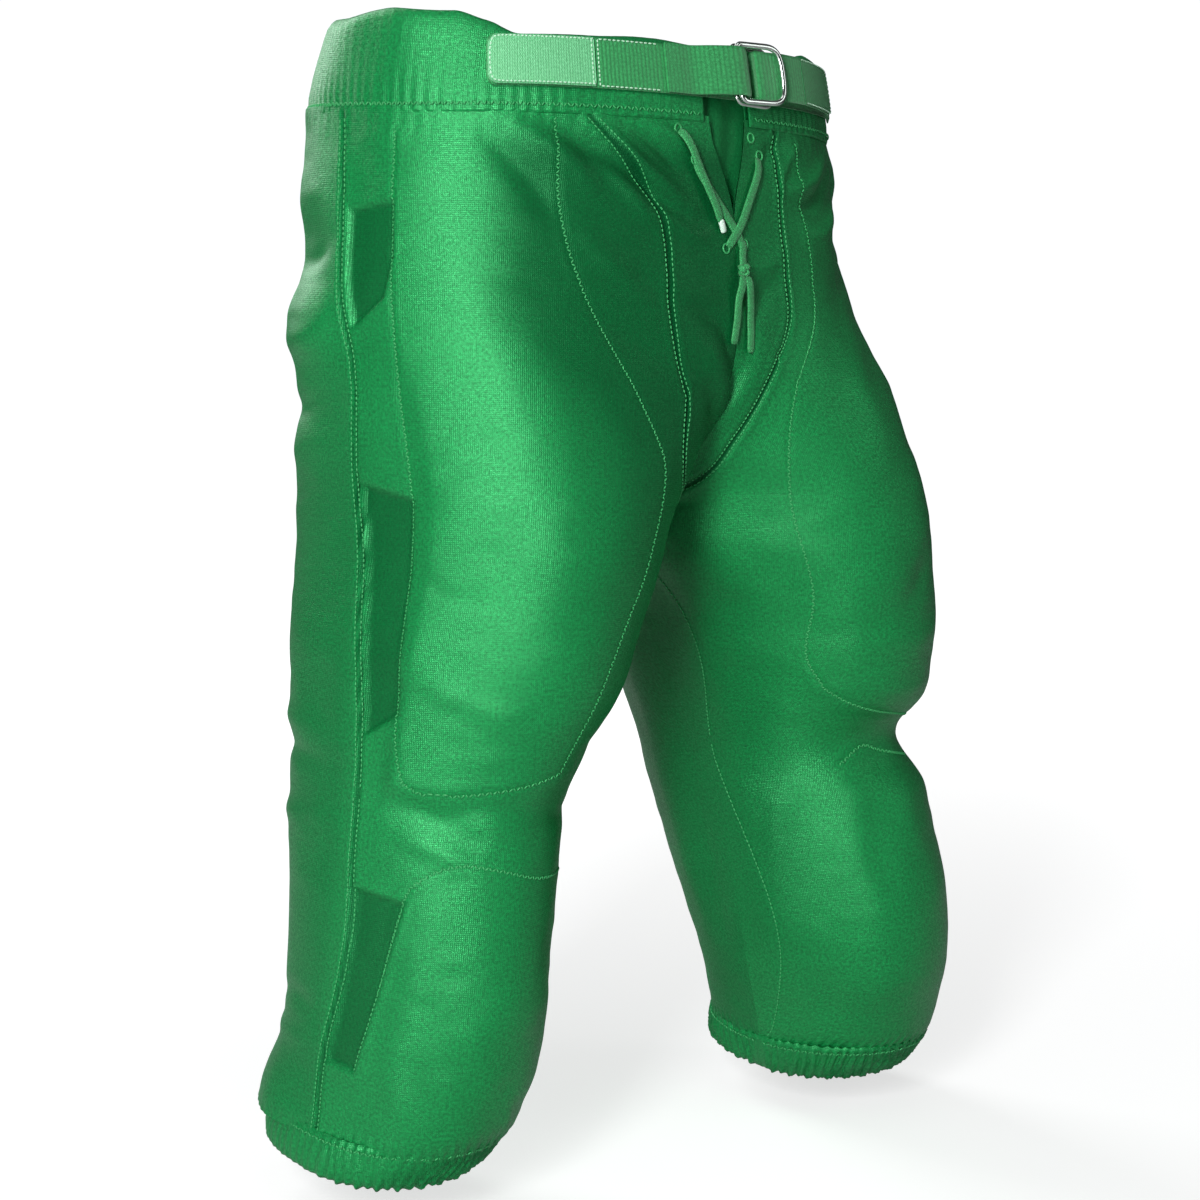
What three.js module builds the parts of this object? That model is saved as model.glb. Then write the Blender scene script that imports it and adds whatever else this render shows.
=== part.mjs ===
// Knee-length padded game trousers: belted waistband, laced fly, pad pockets and elastic cuffs.
// Millimetres. +Z up, front faces -Y, +X is the wearer's left. The origin is the centre of the waist opening.
import * as THREE from "three";

// Overall sizes
const waistHalf = 174;
const rise = 275;
const inseam = 395;
const backRise = 12;

// Cloth, pads and webbing
const clothThick = 2;
const seamGap = 0.5;
const bandHeight = 50;
const beltWidth = 28;
const beltThick = 1.8;
const beltDrop = 8;
const padThick = 11;
const padGap = 3;
const pocketThick = 1.5;
const laceThick = 1.8;

// Buckle rings
const ringWire = 3.6;
const ringClear = 2;
const ringInside = beltWidth + ringClear;
const ringReach = 40;

// Hip and knee pivots, measured down from the waist
const crotchAt = rise;
const hemAt = rise + inseam;
const down = (part) => rise + inseam * part;
const hipAboveCrotch = 128;
const hipDrop = crotchAt - hipAboveCrotch;
const hipY = { right: 0, left: -30 };
const hipForward = 40;
const hipBackward = 15;
const kneeAboveHem = 220;
const kneeDrop = hemAt - kneeAboveHem;
const kneeY = { right: 26, left: -14 };
const kneeBend = 45;
const turnClear = 2;

// Half width of the middle pieces, which stay with the seat while the legs swing past them
const flyHalf = 44;
const legClear = 2.3;

const hipAt = rise * 0.51;

// Section of the trousers at each depth: how far it reaches out to the side, forward, back and in to the middle,
// and how far each leg leans to its own side (x) and towards the back (y)
const sections = [
  { depth: 0, out: waistHalf, front: 104, back: 122, in: 0, rightX: 0, rightY: 0, leftX: 0, leftY: 0 },
  { depth: bandHeight - 0.5, out: waistHalf + 5, front: 112, back: 148, in: 0, rightX: 0, rightY: 0, leftX: 0, leftY: 0 },
  { depth: rise * 0.545, out: waistHalf + 8, front: 120, back: 144, in: 0, rightX: 4, rightY: 0, leftX: 3, leftY: -6 },
  { depth: rise, out: waistHalf + 10, front: 124, back: 126, in: 0, rightX: 0, rightY: 0, leftX: 24, leftY: -28 },
  { depth: down(0.215), out: waistHalf + 17, front: 116, back: 112, in: 24, rightX: 2, rightY: 5, leftX: 29, leftY: -30 },
  { depth: kneeDrop, out: waistHalf + 16, front: 92, back: 95, in: 44, rightX: 8, rightY: 10, leftX: 38, leftY: -32 },
  { depth: kneeDrop + 100, out: waistHalf + 11, front: 96, back: 81, in: 46, rightX: 18, rightY: 18, leftX: 52, leftY: -42 },
  { depth: hemAt - 40, out: waistHalf + 10, front: 83, back: 78, in: 58, rightX: 22, rightY: 26, leftX: 67, leftY: -36 },
  { depth: hemAt, out: waistHalf + 2, front: 60, back: 78, in: 64, rightX: 32, rightY: 32, leftX: 80, leftY: -24 },
];

const clamp = (x, low, high) => Math.min(Math.max(x, low), high);
const mix = (a, b, part) => a + (b - a) * part;
const smooth = (a, b, x) => {
  const t = clamp((x - a) / (b - a), 0, 1);
  return t * t * (3 - 2 * t);
};

// A smooth curve through one measure of the sections, which never overshoots them
function along(key, depth) {
  const last = sections.length - 2;
  let i = 0;
  while (i < last && depth > sections[i + 1].depth) i += 1;
  const slope = (k) => {
    const j = clamp(k, 0, last);
    return (sections[j + 1][key] - sections[j][key]) / (sections[j + 1].depth - sections[j].depth);
  };
  const tangent = (k) => {
    const before = slope(k - 1);
    const after = slope(k);
    return before * after > 0 ? (2 * before * after) / (before + after) : 0;
  };
  const span = sections[i + 1].depth - sections[i].depth;
  const t = clamp((depth - sections[i].depth) / span, 0, 1);
  const a = sections[i][key];
  const b = sections[i + 1][key];
  const first = tangent(i) * span;
  const second = tangent(i + 1) * span;
  return a + t * first + t * t * (3 * (b - a) - 2 * first - second) + t * t * t * (first + second - 2 * (b - a));
}

// The outside of the cloth. u runs round one side, from the front middle (0) over the outer seam (0.5) to the
// back middle (1); below the crotch 0 and 1 are both the inner seam.
function skin(side, u, depth) {
  const sign = side === "right" ? -1 : 1;
  const out = along("out", depth);
  const part = clamp((depth - hipAt) / (crotchAt - hipAt), 0, 1);
  const above = depth < crotchAt;
  const inner = along("in", depth);
  const middle = above ? (part * along("out", crotchAt)) / 2 : (out + inner) / 2;
  const inward = above ? along("out", crotchAt) / 2 : middle - inner;
  const widest = above ? Math.acos(-part) : Math.PI;
  const eased = (Math.PI / 2) * (1 + smooth(hipAt, crotchAt, depth));
  const turn = 1 - 2 * u;
  const angle = turn * mix(eased, widest, turn ** 4);
  const power = 2 / 2.2;
  const c = Math.cos(angle);
  const s = Math.sin(angle);
  let x = Math.max(0, middle + (c > 0 ? (out - middle) * c ** power : inward * c));
  let y = -(s > 0 ? along("front", depth) : along("back", depth)) * Math.sign(s) * Math.abs(s) ** power;
  const free = smooth(crotchAt, crotchAt + 75, depth);
  const moveX = mix(free, 1, clamp(x / 90, 0, 1));
  const moveY = mix(free, 1, smooth(0, 90, x));
  x += along(side + "X", depth) * moveX;
  y += along(side + "Y", depth) * moveY;
  const behind = smooth(-60, 120, y);
  const lift = (1 - smooth(0, rise * 0.45, depth)) * backRise + smooth(hemAt - 110, hemAt, depth) * 14;
  return new THREE.Vector3(sign * x, y, lift * behind - depth);
}

// A point at a distance from the cloth, outwards when away is positive
function offSkin(side, u, depth, away) {
  const at = clamp(u, 0.004, 0.996);
  const point = skin(side, u, depth);
  if (away === 0) return point;
  const alongU = skin(side, at + 0.003, depth).sub(skin(side, at - 0.003, depth));
  const alongDepth = skin(side, at, depth + 2).sub(skin(side, at, depth - 2));
  const normal = alongU.cross(alongDepth).normalize();
  if (side === "left") normal.negate();
  return point.addScaledVector(normal, away);
}

// The fraction round one side at which the cloth is x away from the middle, in front or behind
function fractionAt(side, x, depth, front) {
  let near = front ? 0 : 1;
  let far = 0.5;
  if (Math.abs(skin(side, near, depth).x) >= x) return near;
  for (let i = 0; i < 24; i += 1) {
    const middle = (near + far) / 2;
    if (Math.abs(skin(side, middle, depth).x) >= x) far = middle;
    else near = middle;
  }
  return far;
}

// A small step round the cloth, as a fraction
function stepRound(side, u, depth, distance) {
  const at = clamp(u, 0.01, 0.99);
  const speed = skin(side, at + 0.005, depth).distanceTo(skin(side, at - 0.005, depth)) / 0.01;
  return distance / speed;
}

// A closed body between two grids of points that face each other
function bodyBetween(outer, inner) {
  const rows = outer.length;
  const cols = outer[0].length;
  const positions = [];
  for (const grid of [outer, inner]) {
    for (const row of grid) {
      for (const point of row) positions.push(point.x, point.y, point.z);
    }
  }
  const index = [];
  const at = (layer, i, j) => layer * rows * cols + i * cols + j;
  const quad = (a, b, c, d) => index.push(a, b, c, a, c, d);
  for (let i = 0; i + 1 < rows; i += 1) {
    for (let j = 0; j + 1 < cols; j += 1) {
      quad(at(0, i, j), at(0, i + 1, j), at(0, i + 1, j + 1), at(0, i, j + 1));
      quad(at(1, i, j), at(1, i, j + 1), at(1, i + 1, j + 1), at(1, i + 1, j));
    }
  }
  for (let i = 0; i + 1 < rows; i += 1) {
    quad(at(0, i, 0), at(1, i, 0), at(1, i + 1, 0), at(0, i + 1, 0));
    quad(at(0, i, cols - 1), at(0, i + 1, cols - 1), at(1, i + 1, cols - 1), at(1, i, cols - 1));
  }
  for (let j = 0; j + 1 < cols; j += 1) {
    quad(at(0, 0, j), at(0, 0, j + 1), at(1, 0, j + 1), at(1, 0, j));
    quad(at(0, rows - 1, j), at(1, rows - 1, j), at(1, rows - 1, j + 1), at(0, rows - 1, j + 1));
  }
  const geometry = new THREE.BufferGeometry();
  geometry.setAttribute("position", new THREE.Float32BufferAttribute(positions, 3));
  geometry.setIndex(index);
  return outward(geometry);
}

// Turns a closed body's faces outwards
function outward(geometry) {
  const p = geometry.getAttribute("position");
  const index = geometry.getIndex();
  const a = new THREE.Vector3();
  const b = new THREE.Vector3();
  const c = new THREE.Vector3();
  let volume = 0;
  for (let i = 0; i < index.count; i += 3) {
    a.fromBufferAttribute(p, index.getX(i));
    b.fromBufferAttribute(p, index.getX(i + 1));
    c.fromBufferAttribute(p, index.getX(i + 2));
    volume += a.dot(b.cross(c));
  }
  if (volume < 0) {
    for (let i = 0; i < index.count; i += 3) {
      const swap = index.getX(i);
      index.setX(i, index.getX(i + 1));
      index.setX(i + 1, swap);
    }
  }
  geometry.computeVertexNormals();
  return geometry;
}

// A sheet that follows the cloth. from and to give its edges as fractions at a depth, top and bottom its edges as
// depths at a fraction; it fills the distances between outside and inside, measured from the cloth.
function sheet({ side, from, to, top, bottom, outside = 0, inside = -clothThick, cols = 8, rows = 6, gap = seamGap }) {
  const grids = [[], []];
  for (let i = 0; i <= rows; i += 1) {
    grids[0].push([]);
    grids[1].push([]);
    for (let j = 0; j <= cols; j += 1) {
      let depth = mix(top(0.5), bottom(0.5), i / rows);
      let u = 0.5;
      for (let pass = 0; pass < 4; pass += 1) {
        const start = from(depth) + stepRound(side, from(depth), depth, gap);
        const end = to(depth) - stepRound(side, to(depth), depth, gap);
        u = mix(start, end, j / cols);
        depth = mix(top(u) + gap, bottom(u) - gap, i / rows);
      }
      grids[0][i].push(offSkin(side, u, depth, outside));
      grids[1][i].push(offSkin(side, u, depth, inside));
    }
  }
  return bodyBetween(grids[0], grids[1]);
}

const fixed = (value) => () => value;

// Depth of the seat's lower edge: it leaves room for the thigh to swing up in front and behind
const tangent = (degrees) => Math.tan((degrees * Math.PI) / 180);
function seatEdge(side) {
  return (u) => {
    let depth = hipDrop - 4;
    for (let pass = 0; pass < 12; pass += 1) {
      const point = skin(side, u, depth);
      const ahead = (hipY[side] - point.y) * tangent(hipForward - 0.5);
      const behind = (point.y - hipY[side]) * tangent(hipBackward + turnClear);
      const wanted = Math.min(hipDrop - 4 - Math.max(ahead, behind), hipDrop - 4) + (point.z + depth);
      depth = mix(depth, Math.max(wanted, bandHeight + 9), 0.6);
    }
    return depth;
  };
}
const thighTop = hipDrop + 5;
const thighBottom = kneeDrop - 12;

// Depth of the shin's upper edge: lower at the back, where it rises as the knee bends
function shinEdge(side) {
  return (u) => {
    let depth = kneeDrop + 8;
    for (let pass = 0; pass < 12; pass += 1) {
      const point = skin(side, u, depth);
      const behind = Math.max(point.y - kneeY[side], 0) * tangent(kneeBend + turnClear);
      depth = mix(depth, kneeDrop + 8 + behind, 0.6);
    }
    return depth;
  };
}

// The legs start this far from the middle, so that they pass beside the seat's middle pieces
const legStart = flyHalf + legClear;

const paint = {
  cloth: { color: 0x1e9550, roughness: 0.55, metalness: 0 },
  clothDark: { color: 0x15773e, roughness: 0.7, metalness: 0 },
  lining: { color: 0x1a8346, roughness: 0.8, metalness: 0 },
  webbing: { color: 0x2d9a58, roughness: 0.6, metalness: 0 },
  lace: { color: 0x2f9a58, roughness: 0.7, metalness: 0 },
  elastic: { color: 0x1b8246, roughness: 0.8, metalness: 0 },
  foam: { color: 0xd9dcd8, roughness: 0.9, metalness: 0 },
  chrome: { color: 0xdde2e0, roughness: 0.15, metalness: 1 },
  aglet: { color: 0xdfeee4, roughness: 0.4, metalness: 0 },
};

const trousers = new THREE.Group();
function add(name, geometry, look, parent = trousers) {
  const mesh = new THREE.Mesh(geometry, new THREE.MeshStandardMaterial(paint[look]));
  mesh.name = name;
  parent.add(mesh);
  return mesh;
}

const sides = ["right", "left"];
const bandOpen = 20;

// Seat: waistband, upper panels, and pads at the hips
for (const side of sides) {
  const openAt = (depth) => fractionAt(side, bandOpen, depth, true);
  const frontEdge = (depth) => fractionAt(side, flyHalf, depth, true);
  const backEdge = (depth) => fractionAt(side, flyHalf, depth, false);
  const band = { side, from: openAt, to: fixed(1), top: fixed(0), bottom: fixed(bandHeight), cols: 22, rows: 2 };
  add(`waistband_${side}`, sheet({ ...band, outside: 0, inside: -1.5 }), "cloth");
  const edge = seatEdge(side);
  const upper = { side, top: fixed(bandHeight), bottom: edge, cols: 8, rows: 3 };
  add(`front_panel_${side}`, sheet({ ...upper, from: frontEdge, to: fixed(0.5) }), "cloth");
  add(`back_panel_${side}`, sheet({ ...upper, from: fixed(0.5), to: backEdge, cols: 9 }), "cloth");
  const hip = { side, from: fixed(0.43), to: fixed(0.62), top: fixed(bandHeight + 8), bottom: (u) => edge(u) - 2, cols: 4, rows: 3 };
  add(`hip_pad_${side}`, sheet({ ...hip, outside: -clothThick - padGap, inside: -clothThick - padGap - 8 }), "foam");
  const hipInside = -clothThick - 2 * padGap - 8;
  add(`hip_pocket_${side}`, sheet({ ...hip, outside: hipInside, inside: hipInside - pocketThick }), "lining");
}

// A sheet across the middle, from the right side to the left one, between two distances from the middle plane
function middleSheet({ low, high, top, bottom, outside = 0, inside = -clothThick, front, cols = 6, rows = 6 }) {
  const grids = [[], []];
  for (let i = 0; i <= rows; i += 1) {
    grids[0].push([]);
    grids[1].push([]);
    for (let j = 0; j <= cols; j += 1) {
      const depth = mix(top + seamGap, bottom - seamGap, i / rows);
      const x = mix(low(depth), high(depth), j / cols);
      const side = x < 0 ? "right" : "left";
      const u = fractionAt(side, Math.abs(x), depth, front);
      [outside, inside].forEach((away, k) => {
        const point = offSkin(side, u, depth, away);
        point.x = x;
        grids[k][i].push(point);
      });
    }
  }
  return bodyBetween(grids[0], grids[1]);
}

// Seat: pieces on the middle line
const flyBottom = hipDrop - 13;
const flyClosed = flyBottom - 29;
const cupBottom = crotchAt * 0.945;
add("fly_placket_right", middleSheet({
  low: fixed(-flyHalf + 0.6), high: (d) => -mix(16, 0.6, smooth(bandHeight, flyClosed, d)),
  top: bandHeight, bottom: flyBottom, front: true, cols: 3, rows: 5,
}), "cloth");
add("fly_placket_left", middleSheet({
  low: (d) => mix(16, 0.6, smooth(bandHeight, flyClosed, d)), high: fixed(flyHalf - 0.6),
  top: bandHeight, bottom: flyBottom, front: true, cols: 3, rows: 5,
}), "cloth");
add("fly_tongue", middleSheet({
  low: fixed(-34), high: fixed(34), top: 12, bottom: flyBottom + 8,
  outside: -5, inside: -7, front: true, cols: 4, rows: 5,
}), "clothDark");
add("cup_panel", middleSheet({
  low: fixed(-flyHalf), high: fixed(flyHalf), top: flyBottom, bottom: cupBottom, front: true, cols: 8, rows: 7,
}), "cloth");
add("seat_middle_panel", middleSheet({
  low: fixed(-flyHalf), high: fixed(flyHalf), top: bandHeight, bottom: cupBottom, front: false, cols: 8, rows: 10,
}), "cloth");
const tail = { low: fixed(-38), high: fixed(38), top: bandHeight + 12, bottom: crotchAt - 79, front: false, cols: 4, rows: 5 };
const tailDeep = clothThick + padGap;
add("tail_pad", middleSheet({ ...tail, outside: -tailDeep, inside: -tailDeep - 9 }), "foam");
add("tail_pocket", middleSheet({
  ...tail, outside: -tailDeep - 9 - padGap, inside: -tailDeep - 9 - padGap - pocketThick,
}), "lining");

// The gusset closes the crotch between the front and back pieces
function gusset() {
  const grids = [[], []];
  const steps = 12;
  const first = cupBottom + seamGap;
  for (let i = 0; i <= steps; i += 1) {
    const swing = Math.cos((Math.PI * i) / steps);
    const depth = mix(crotchAt, first, swing * swing);
    const point = skin("right", swing > 0 ? 0 : 1, depth);
    const across = (z) => [-flyHalf, 0, flyHalf].map((x) => new THREE.Vector3(x, point.y, z));
    grids[0].push(across(point.z - clothThick));
    grids[1].push(across(point.z - 0.2));
  }
  return bodyBetween(grids[0], grids[1]);
}
add("crotch_gusset", gusset(), "cloth");

// Legs
for (const side of sides) {
  const insideFront = (depth) => fractionAt(side, legStart, depth, true);
  const insideBack = (depth) => fractionAt(side, legStart, depth, false);
  const edge = seatEdge(side);
  const shin = shinEdge(side);

  // Cloth that folds at the hip, and the gore between the legs
  const crease = { side, top: edge, bottom: fixed(thighTop), rows: 3, cols: 8 };
  add(`hip_crease_front_${side}`, sheet({ ...crease, from: insideFront, to: fixed(0.5) }), "cloth");
  add(`hip_crease_back_${side}`, sheet({ ...crease, from: fixed(0.5), to: insideBack }), "cloth");
  let goreBottom = crotchAt + 20;
  while (Math.abs(skin(side, 0, goreBottom).x) < flyHalf - 3) goreBottom += 1;
  const goreHalf = (depth) => insideFront(depth) - 0.007;
  const goreBack = (depth) => insideBack(depth) + 0.007;
  add(`inseam_gore_${side}`, goreSheet(side, goreHalf, goreBack, crotchAt + 14, goreBottom), "cloth");

  // Thigh
  const thigh = { side, top: fixed(thighTop), bottom: fixed(thighBottom), cols: 11, rows: 8 };
  add(`thigh_front_panel_${side}`, sheet({ ...thigh, from: insideFront, to: fixed(0.5) }), "cloth");
  add(`thigh_back_panel_${side}`, sheet({ ...thigh, from: fixed(0.5), to: insideBack }), "cloth");
  const pad = {
    side, from: (d) => mix(0.2, 0.16, smooth(hipDrop + 68, kneeDrop - 120, d)), to: fixed(0.44),
    top: fixed(hipDrop + 58), bottom: (u) => kneeDrop - 22 - 1600 * (u - 0.3) ** 2, cols: 6, rows: 6,
  };
  const padFront = -clothThick - padGap;
  add(`thigh_pad_${side}`, sheet({ ...pad, outside: padFront, inside: padFront - padThick }), "foam");
  const pocket = { ...pad, outside: padFront - padThick - padGap, inside: padFront - padThick - padGap - pocketThick };
  add(`thigh_pocket_${side}`, sheet(pocket), "lining");

  // Knee: the cloth that folds, then the shin's panels, pad and cuff
  const knee = { side, from: fixed(0), to: fixed(1), top: fixed(thighBottom), bottom: shin, cols: 18, rows: 3 };
  add(`knee_crease_${side}`, sheet(knee), "cloth");
  const hemTop = hemAt - 26;
  const lower = { side, top: shin, bottom: fixed(hemTop), cols: 9, rows: 5 };
  add(`knee_front_panel_${side}`, sheet({ ...lower, from: fixed(0), to: fixed(0.5) }), "cloth");
  add(`knee_back_panel_${side}`, sheet({ ...lower, from: fixed(0.5), to: fixed(1) }), "cloth");
  const kneePad = { side, from: fixed(0.12), to: fixed(0.41), top: fixed(kneeDrop + 28), bottom: fixed(hemAt - 48), cols: 6, rows: 5 };
  add(`knee_pad_${side}`, sheet({ ...kneePad, outside: padFront, inside: padFront - padThick }), "foam");
  const kneePocket = { ...kneePad, outside: pocket.outside, inside: pocket.inside };
  add(`knee_pocket_${side}`, sheet(kneePocket), "lining");
  const hem = { side, from: fixed(0), to: fixed(1), top: fixed(hemTop), bottom: fixed(hemAt), cols: 20, rows: 2 };
  add(`hem_band_${side}`, sheet({ ...hem, outside: 0, inside: -1.5 }), "cloth");
  const elastic = { ...hem, top: fixed(hemTop + 3), bottom: fixed(hemAt - 3), rows: 1 };
  add(`cuff_elastic_${side}`, sheet({ ...elastic, outside: -3.4, inside: -5 }), "elastic");
}

// The gore crosses the inner seam, from behind it to in front of it
function goreSheet(side, front, back, top, bottom) {
  const grids = [[], []];
  const rows = 7;
  const cols = 8;
  for (let i = 0; i <= rows; i += 1) {
    const depth = mix(top, bottom, i / rows);
    grids[0].push([]);
    grids[1].push([]);
    for (let j = 0; j <= cols; j += 1) {
      const around = mix(back(depth) - 1, front(depth), j / cols);
      const u = around < 0 ? around + 1 : around;
      grids[0][i].push(offSkin(side, u, depth, 0));
      grids[1][i].push(offSkin(side, u, depth, -clothThick));
    }
  }
  return bodyBetween(grids[0], grids[1]);
}

// Belt. A strap's path is a list of [distance round the waist, distance from the cloth]; it has its thickness on
// the outer side of a path that runs towards the left, and it goes on past the back middle to the other side.
const beltTop = beltDrop;
const beltBottom = beltDrop + beltWidth;
const wrapLength = 520;
function wrap(round, away, depth) {
  const part = round > wrapLength ? round / wrapLength - 2 : round / wrapLength;
  return offSkin(part < 0 ? "right" : "left", Math.abs(part), depth, away);
}
function strap(path, thick = beltThick, top = beltTop, bottom = beltBottom, rows = 3) {
  const outer = path.map(([round, away], i) => {
    const before = path[Math.max(i - 1, 0)];
    const after = path[Math.min(i + 1, path.length - 1)];
    const dx = after[0] - before[0];
    const dy = after[1] - before[1];
    const length = Math.hypot(dx, dy);
    return [round - (dy / length) * thick, away + (dx / length) * thick];
  });
  const depths = Array.from({ length: rows + 1 }, (_, i) => mix(top, bottom, i / rows));
  const grid = (line) => depths.map((depth) => line.map(([round, away]) => wrap(round, away, depth)));
  return bodyBetween(grid(outer), grid(path));
}

// Joins the vertices that lie in one place, and drops the triangles that shrink to a line
function weld(geometry) {
  const flat = geometry.index ? geometry.toNonIndexed() : geometry;
  const p = flat.getAttribute("position");
  const seen = new Map();
  const positions = [];
  const index = [];
  for (let i = 0; i < p.count; i += 1) {
    const place = [p.getX(i), p.getY(i), p.getZ(i)];
    const key = place.map((value) => value.toFixed(3)).join();
    if (!seen.has(key)) {
      seen.set(key, positions.length / 3);
      positions.push(...place);
    }
    index.push(seen.get(key));
  }
  const kept = [];
  for (let i = 0; i < index.length; i += 3) {
    const [a, b, c] = index.slice(i, i + 3);
    if (a !== b && b !== c && c !== a) kept.push(a, b, c);
  }
  const joined = new THREE.BufferGeometry();
  joined.setAttribute("position", new THREE.Float32BufferAttribute(positions, 3));
  joined.setIndex(kept);
  return joined;
}

// Points from one place round the waist to another at one distance from the cloth
function level(start, end, away, steps) {
  return Array.from({ length: steps + 1 }, (_, i) => [mix(start, end, i / steps), away]);
}

const slotAt = 0.31 * wrapLength;
const strapAway = 1.6;
const liningStart = 46;
const tunnelAway = -6;
const liningAway = -11;
const throughBack = (start, away) => level(start, 2 * wrapLength - start, away, 60);
add("waistband_lining", strap(throughBack(liningStart, liningAway), 1.2, 2, bandHeight - 2), "lining");
add("belt_tunnel_part", strap(throughBack(slotAt + 2, tunnelAway)), "webbing");

// The strap on the right side ends in a sewn loop that holds both rings by their bars
const barAt = 2;
const playGap = 0.7;
const barAway = strapAway + beltThick + playGap + ringWire / 2;
const barStep = ringWire + 0.5;
const loopSide = barAt + ringWire / 2 + playGap + beltThick;
const loopOuter = barAway + barStep + ringWire / 2 + playGap + beltThick;
const loopPath = [
  ...level(-slotAt, barAt - 2, strapAway, 14),
  [barAt + 2, strapAway],
  [loopSide, strapAway + 2],
  [loopSide + 0.6, (strapAway + loopOuter) / 2],
  [loopSide, loopOuter - 2],
  [barAt + 1, loopOuter],
  [barAt - 4, loopOuter - 0.2],
  [barAt - 16, loopOuter * 0.68],
  ...level(barAt - 26, barAt - 44, strapAway + 2 * beltThick + 0.5, 2),
];
add("belt_ring_strap", strap(loopPath), "webbing");

// D-rings: an inner and an outer one, side by side on their bars
function ringGeometry() {
  const half = ringInside / 2 + ringWire;
  const reach = ringReach;
  const outline = new THREE.Shape();
  outline.moveTo(-ringWire / 2, -half + 3);
  outline.lineTo(-ringWire / 2, half - 3);
  outline.quadraticCurveTo(-ringWire / 2, half, 3, half);
  outline.lineTo(reach * 0.6, half);
  outline.bezierCurveTo(reach * 0.9, half, reach - ringWire / 2, half * 0.75, reach - ringWire / 2, 0);
  outline.bezierCurveTo(reach - ringWire / 2, -half * 0.75, reach * 0.9, -half, reach * 0.6, -half);
  outline.lineTo(3, -half);
  outline.quadraticCurveTo(-ringWire / 2, -half, -ringWire / 2, -half + 3);
  const inner = half - ringWire;
  const far = reach - ringWire * 1.5;
  const hole = new THREE.Path();
  hole.moveTo(ringWire / 2, -inner);
  hole.lineTo(reach * 0.57, -inner);
  hole.bezierCurveTo(reach * 0.84, -inner, far, -inner * 0.72, far, 0);
  hole.bezierCurveTo(far, inner * 0.72, reach * 0.84, inner, reach * 0.57, inner);
  hole.lineTo(ringWire / 2, inner);
  hole.closePath();
  outline.holes.push(hole);
  const wire = { depth: ringWire - 2, bevelEnabled: true, bevelThickness: 1, bevelSize: 0.9, bevelSegments: 1 };
  const geometry = new THREE.ExtrudeGeometry(outline, { ...wire, bevelOffset: -0.9, curveSegments: 5 });
  geometry.translate(0, 0, -(ringWire - 2) / 2);
  return outward(weld(geometry));
}
// Both rings stand on one tilted line, the way the waistband slopes, and lean so that the straps fit between them
const ringPlay = 3;
const overAway = barAway + ringWire / 2 + ringPlay + beltThick + 0.4;
const outerRingAway = overAway + ringWire / 2 + 1.4;
const beltMiddle = (beltTop + beltBottom) / 2;
const barPlace = wrap(barAt, 0, beltMiddle);
const barLow = wrap(barAt, 0, beltBottom);
const barHigh = wrap(barAt, 0, beltTop);
const barTilt = Math.atan2(barHigh.y - barLow.y, barHigh.z - barLow.z);
const recede = wrap(barAt + ringReach, 0, beltMiddle).y - barPlace.y;
const ringRise = [0.7, outerRingAway - barAway - barStep];
["ring_inner", "ring_outer"].forEach((name, i) => {
  const holder = new THREE.Group();
  holder.position.copy(wrap(barAt, barAway + i * barStep, beltMiddle));
  holder.rotation.set(Math.PI / 2 - barTilt, 0, 0);
  const turned = new THREE.Group();
  turned.rotation.y = Math.asin((recede - ringRise[i]) / (ringReach - ringWire));
  holder.add(turned);
  add(name, ringGeometry(), "chrome", turned);
  trousers.add(holder);
});

// The strap on the left side runs under both rings, turns back over the inner one and under the outer one
const turnAt = barAt + 12;
const underAway = 1;
const leftPath = [
  ...level(slotAt, turnAt + 9, underAway, 14),
  [turnAt + 3, underAway + 0.6],
  [turnAt, underAway + 3],
  [turnAt, overAway - 4.5],
  [turnAt + 3, overAway - 2.4],
  [turnAt + 10, overAway - 1.6],
  [turnAt + 16, overAway - 0.8],
  ...level(turnAt + 21, turnAt + 40, overAway, 4),
];
add("belt_left_strap", strap(leftPath, -beltThick), "webbing");

// Free end of the belt, beyond the rings, lying back towards the waistband
const tailStart = turnAt + 41.5;
const tailLength = 62;
const tailSteps = 8;
const tailDrop = overAway - beltThick - underAway - 2 * beltThick;
const tailPath = level(tailStart, tailStart + tailLength, overAway - beltThick, tailSteps);
add("belt_tail", strap(tailPath.map(([round, away], i) => [round, away - (tailDrop * i) / tailSteps])), "webbing");

// Lacing: flat cord crossing the fly, a knot, and the free ends
function onFront(x, depth, away) {
  const side = x < 0 ? "right" : "left";
  const point = offSkin(side, fractionAt(side, Math.abs(x), depth, true), depth, away);
  point.x = x;
  return point;
}
function laceAlong(points, wide, thick, steps) {
  const curve = new THREE.CatmullRomCurve3(points.map(([x, depth, away]) => onFront(x, depth, away)));
  const section = new THREE.Shape();
  const sides8 = Array.from({ length: 8 }, (_, i) => (Math.PI * (2 * i + 1)) / 8);
  section.setFromPoints(sides8.map((a) => new THREE.Vector2((Math.cos(a) * thick) / 2, (Math.sin(a) * wide) / 2)));
  const cord = new THREE.ExtrudeGeometry(section, { steps, bevelEnabled: false, extrudePath: curve });
  return outward(weld(cord));
}
const laceCord = laceThick + 0.8;
const laceAway = 0.5 + laceCord / 2;
add("lace_cross", laceAlong([[27, 72, laceAway], [14, 92, laceAway], [2, 112, laceAway]], laceCord, laceCord, 5), "lace");
add("lace_upper_end", laceAlong(
  [[-42, 56, laceAway + 0.4], [-34, 70, laceAway + 0.4], [-26, 84, laceAway + 0.4], [-14, 106, laceAway + 0.4]],
  laceCord, laceCord, 12,
), "lace");
add("lace_tip", laceAlong(
  [[-13.6, 106.7, laceAway + 0.4], [-11, 112, laceAway + 0.4]], laceCord + 0.4, laceCord + 0.4, 1,
), "aglet");
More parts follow.
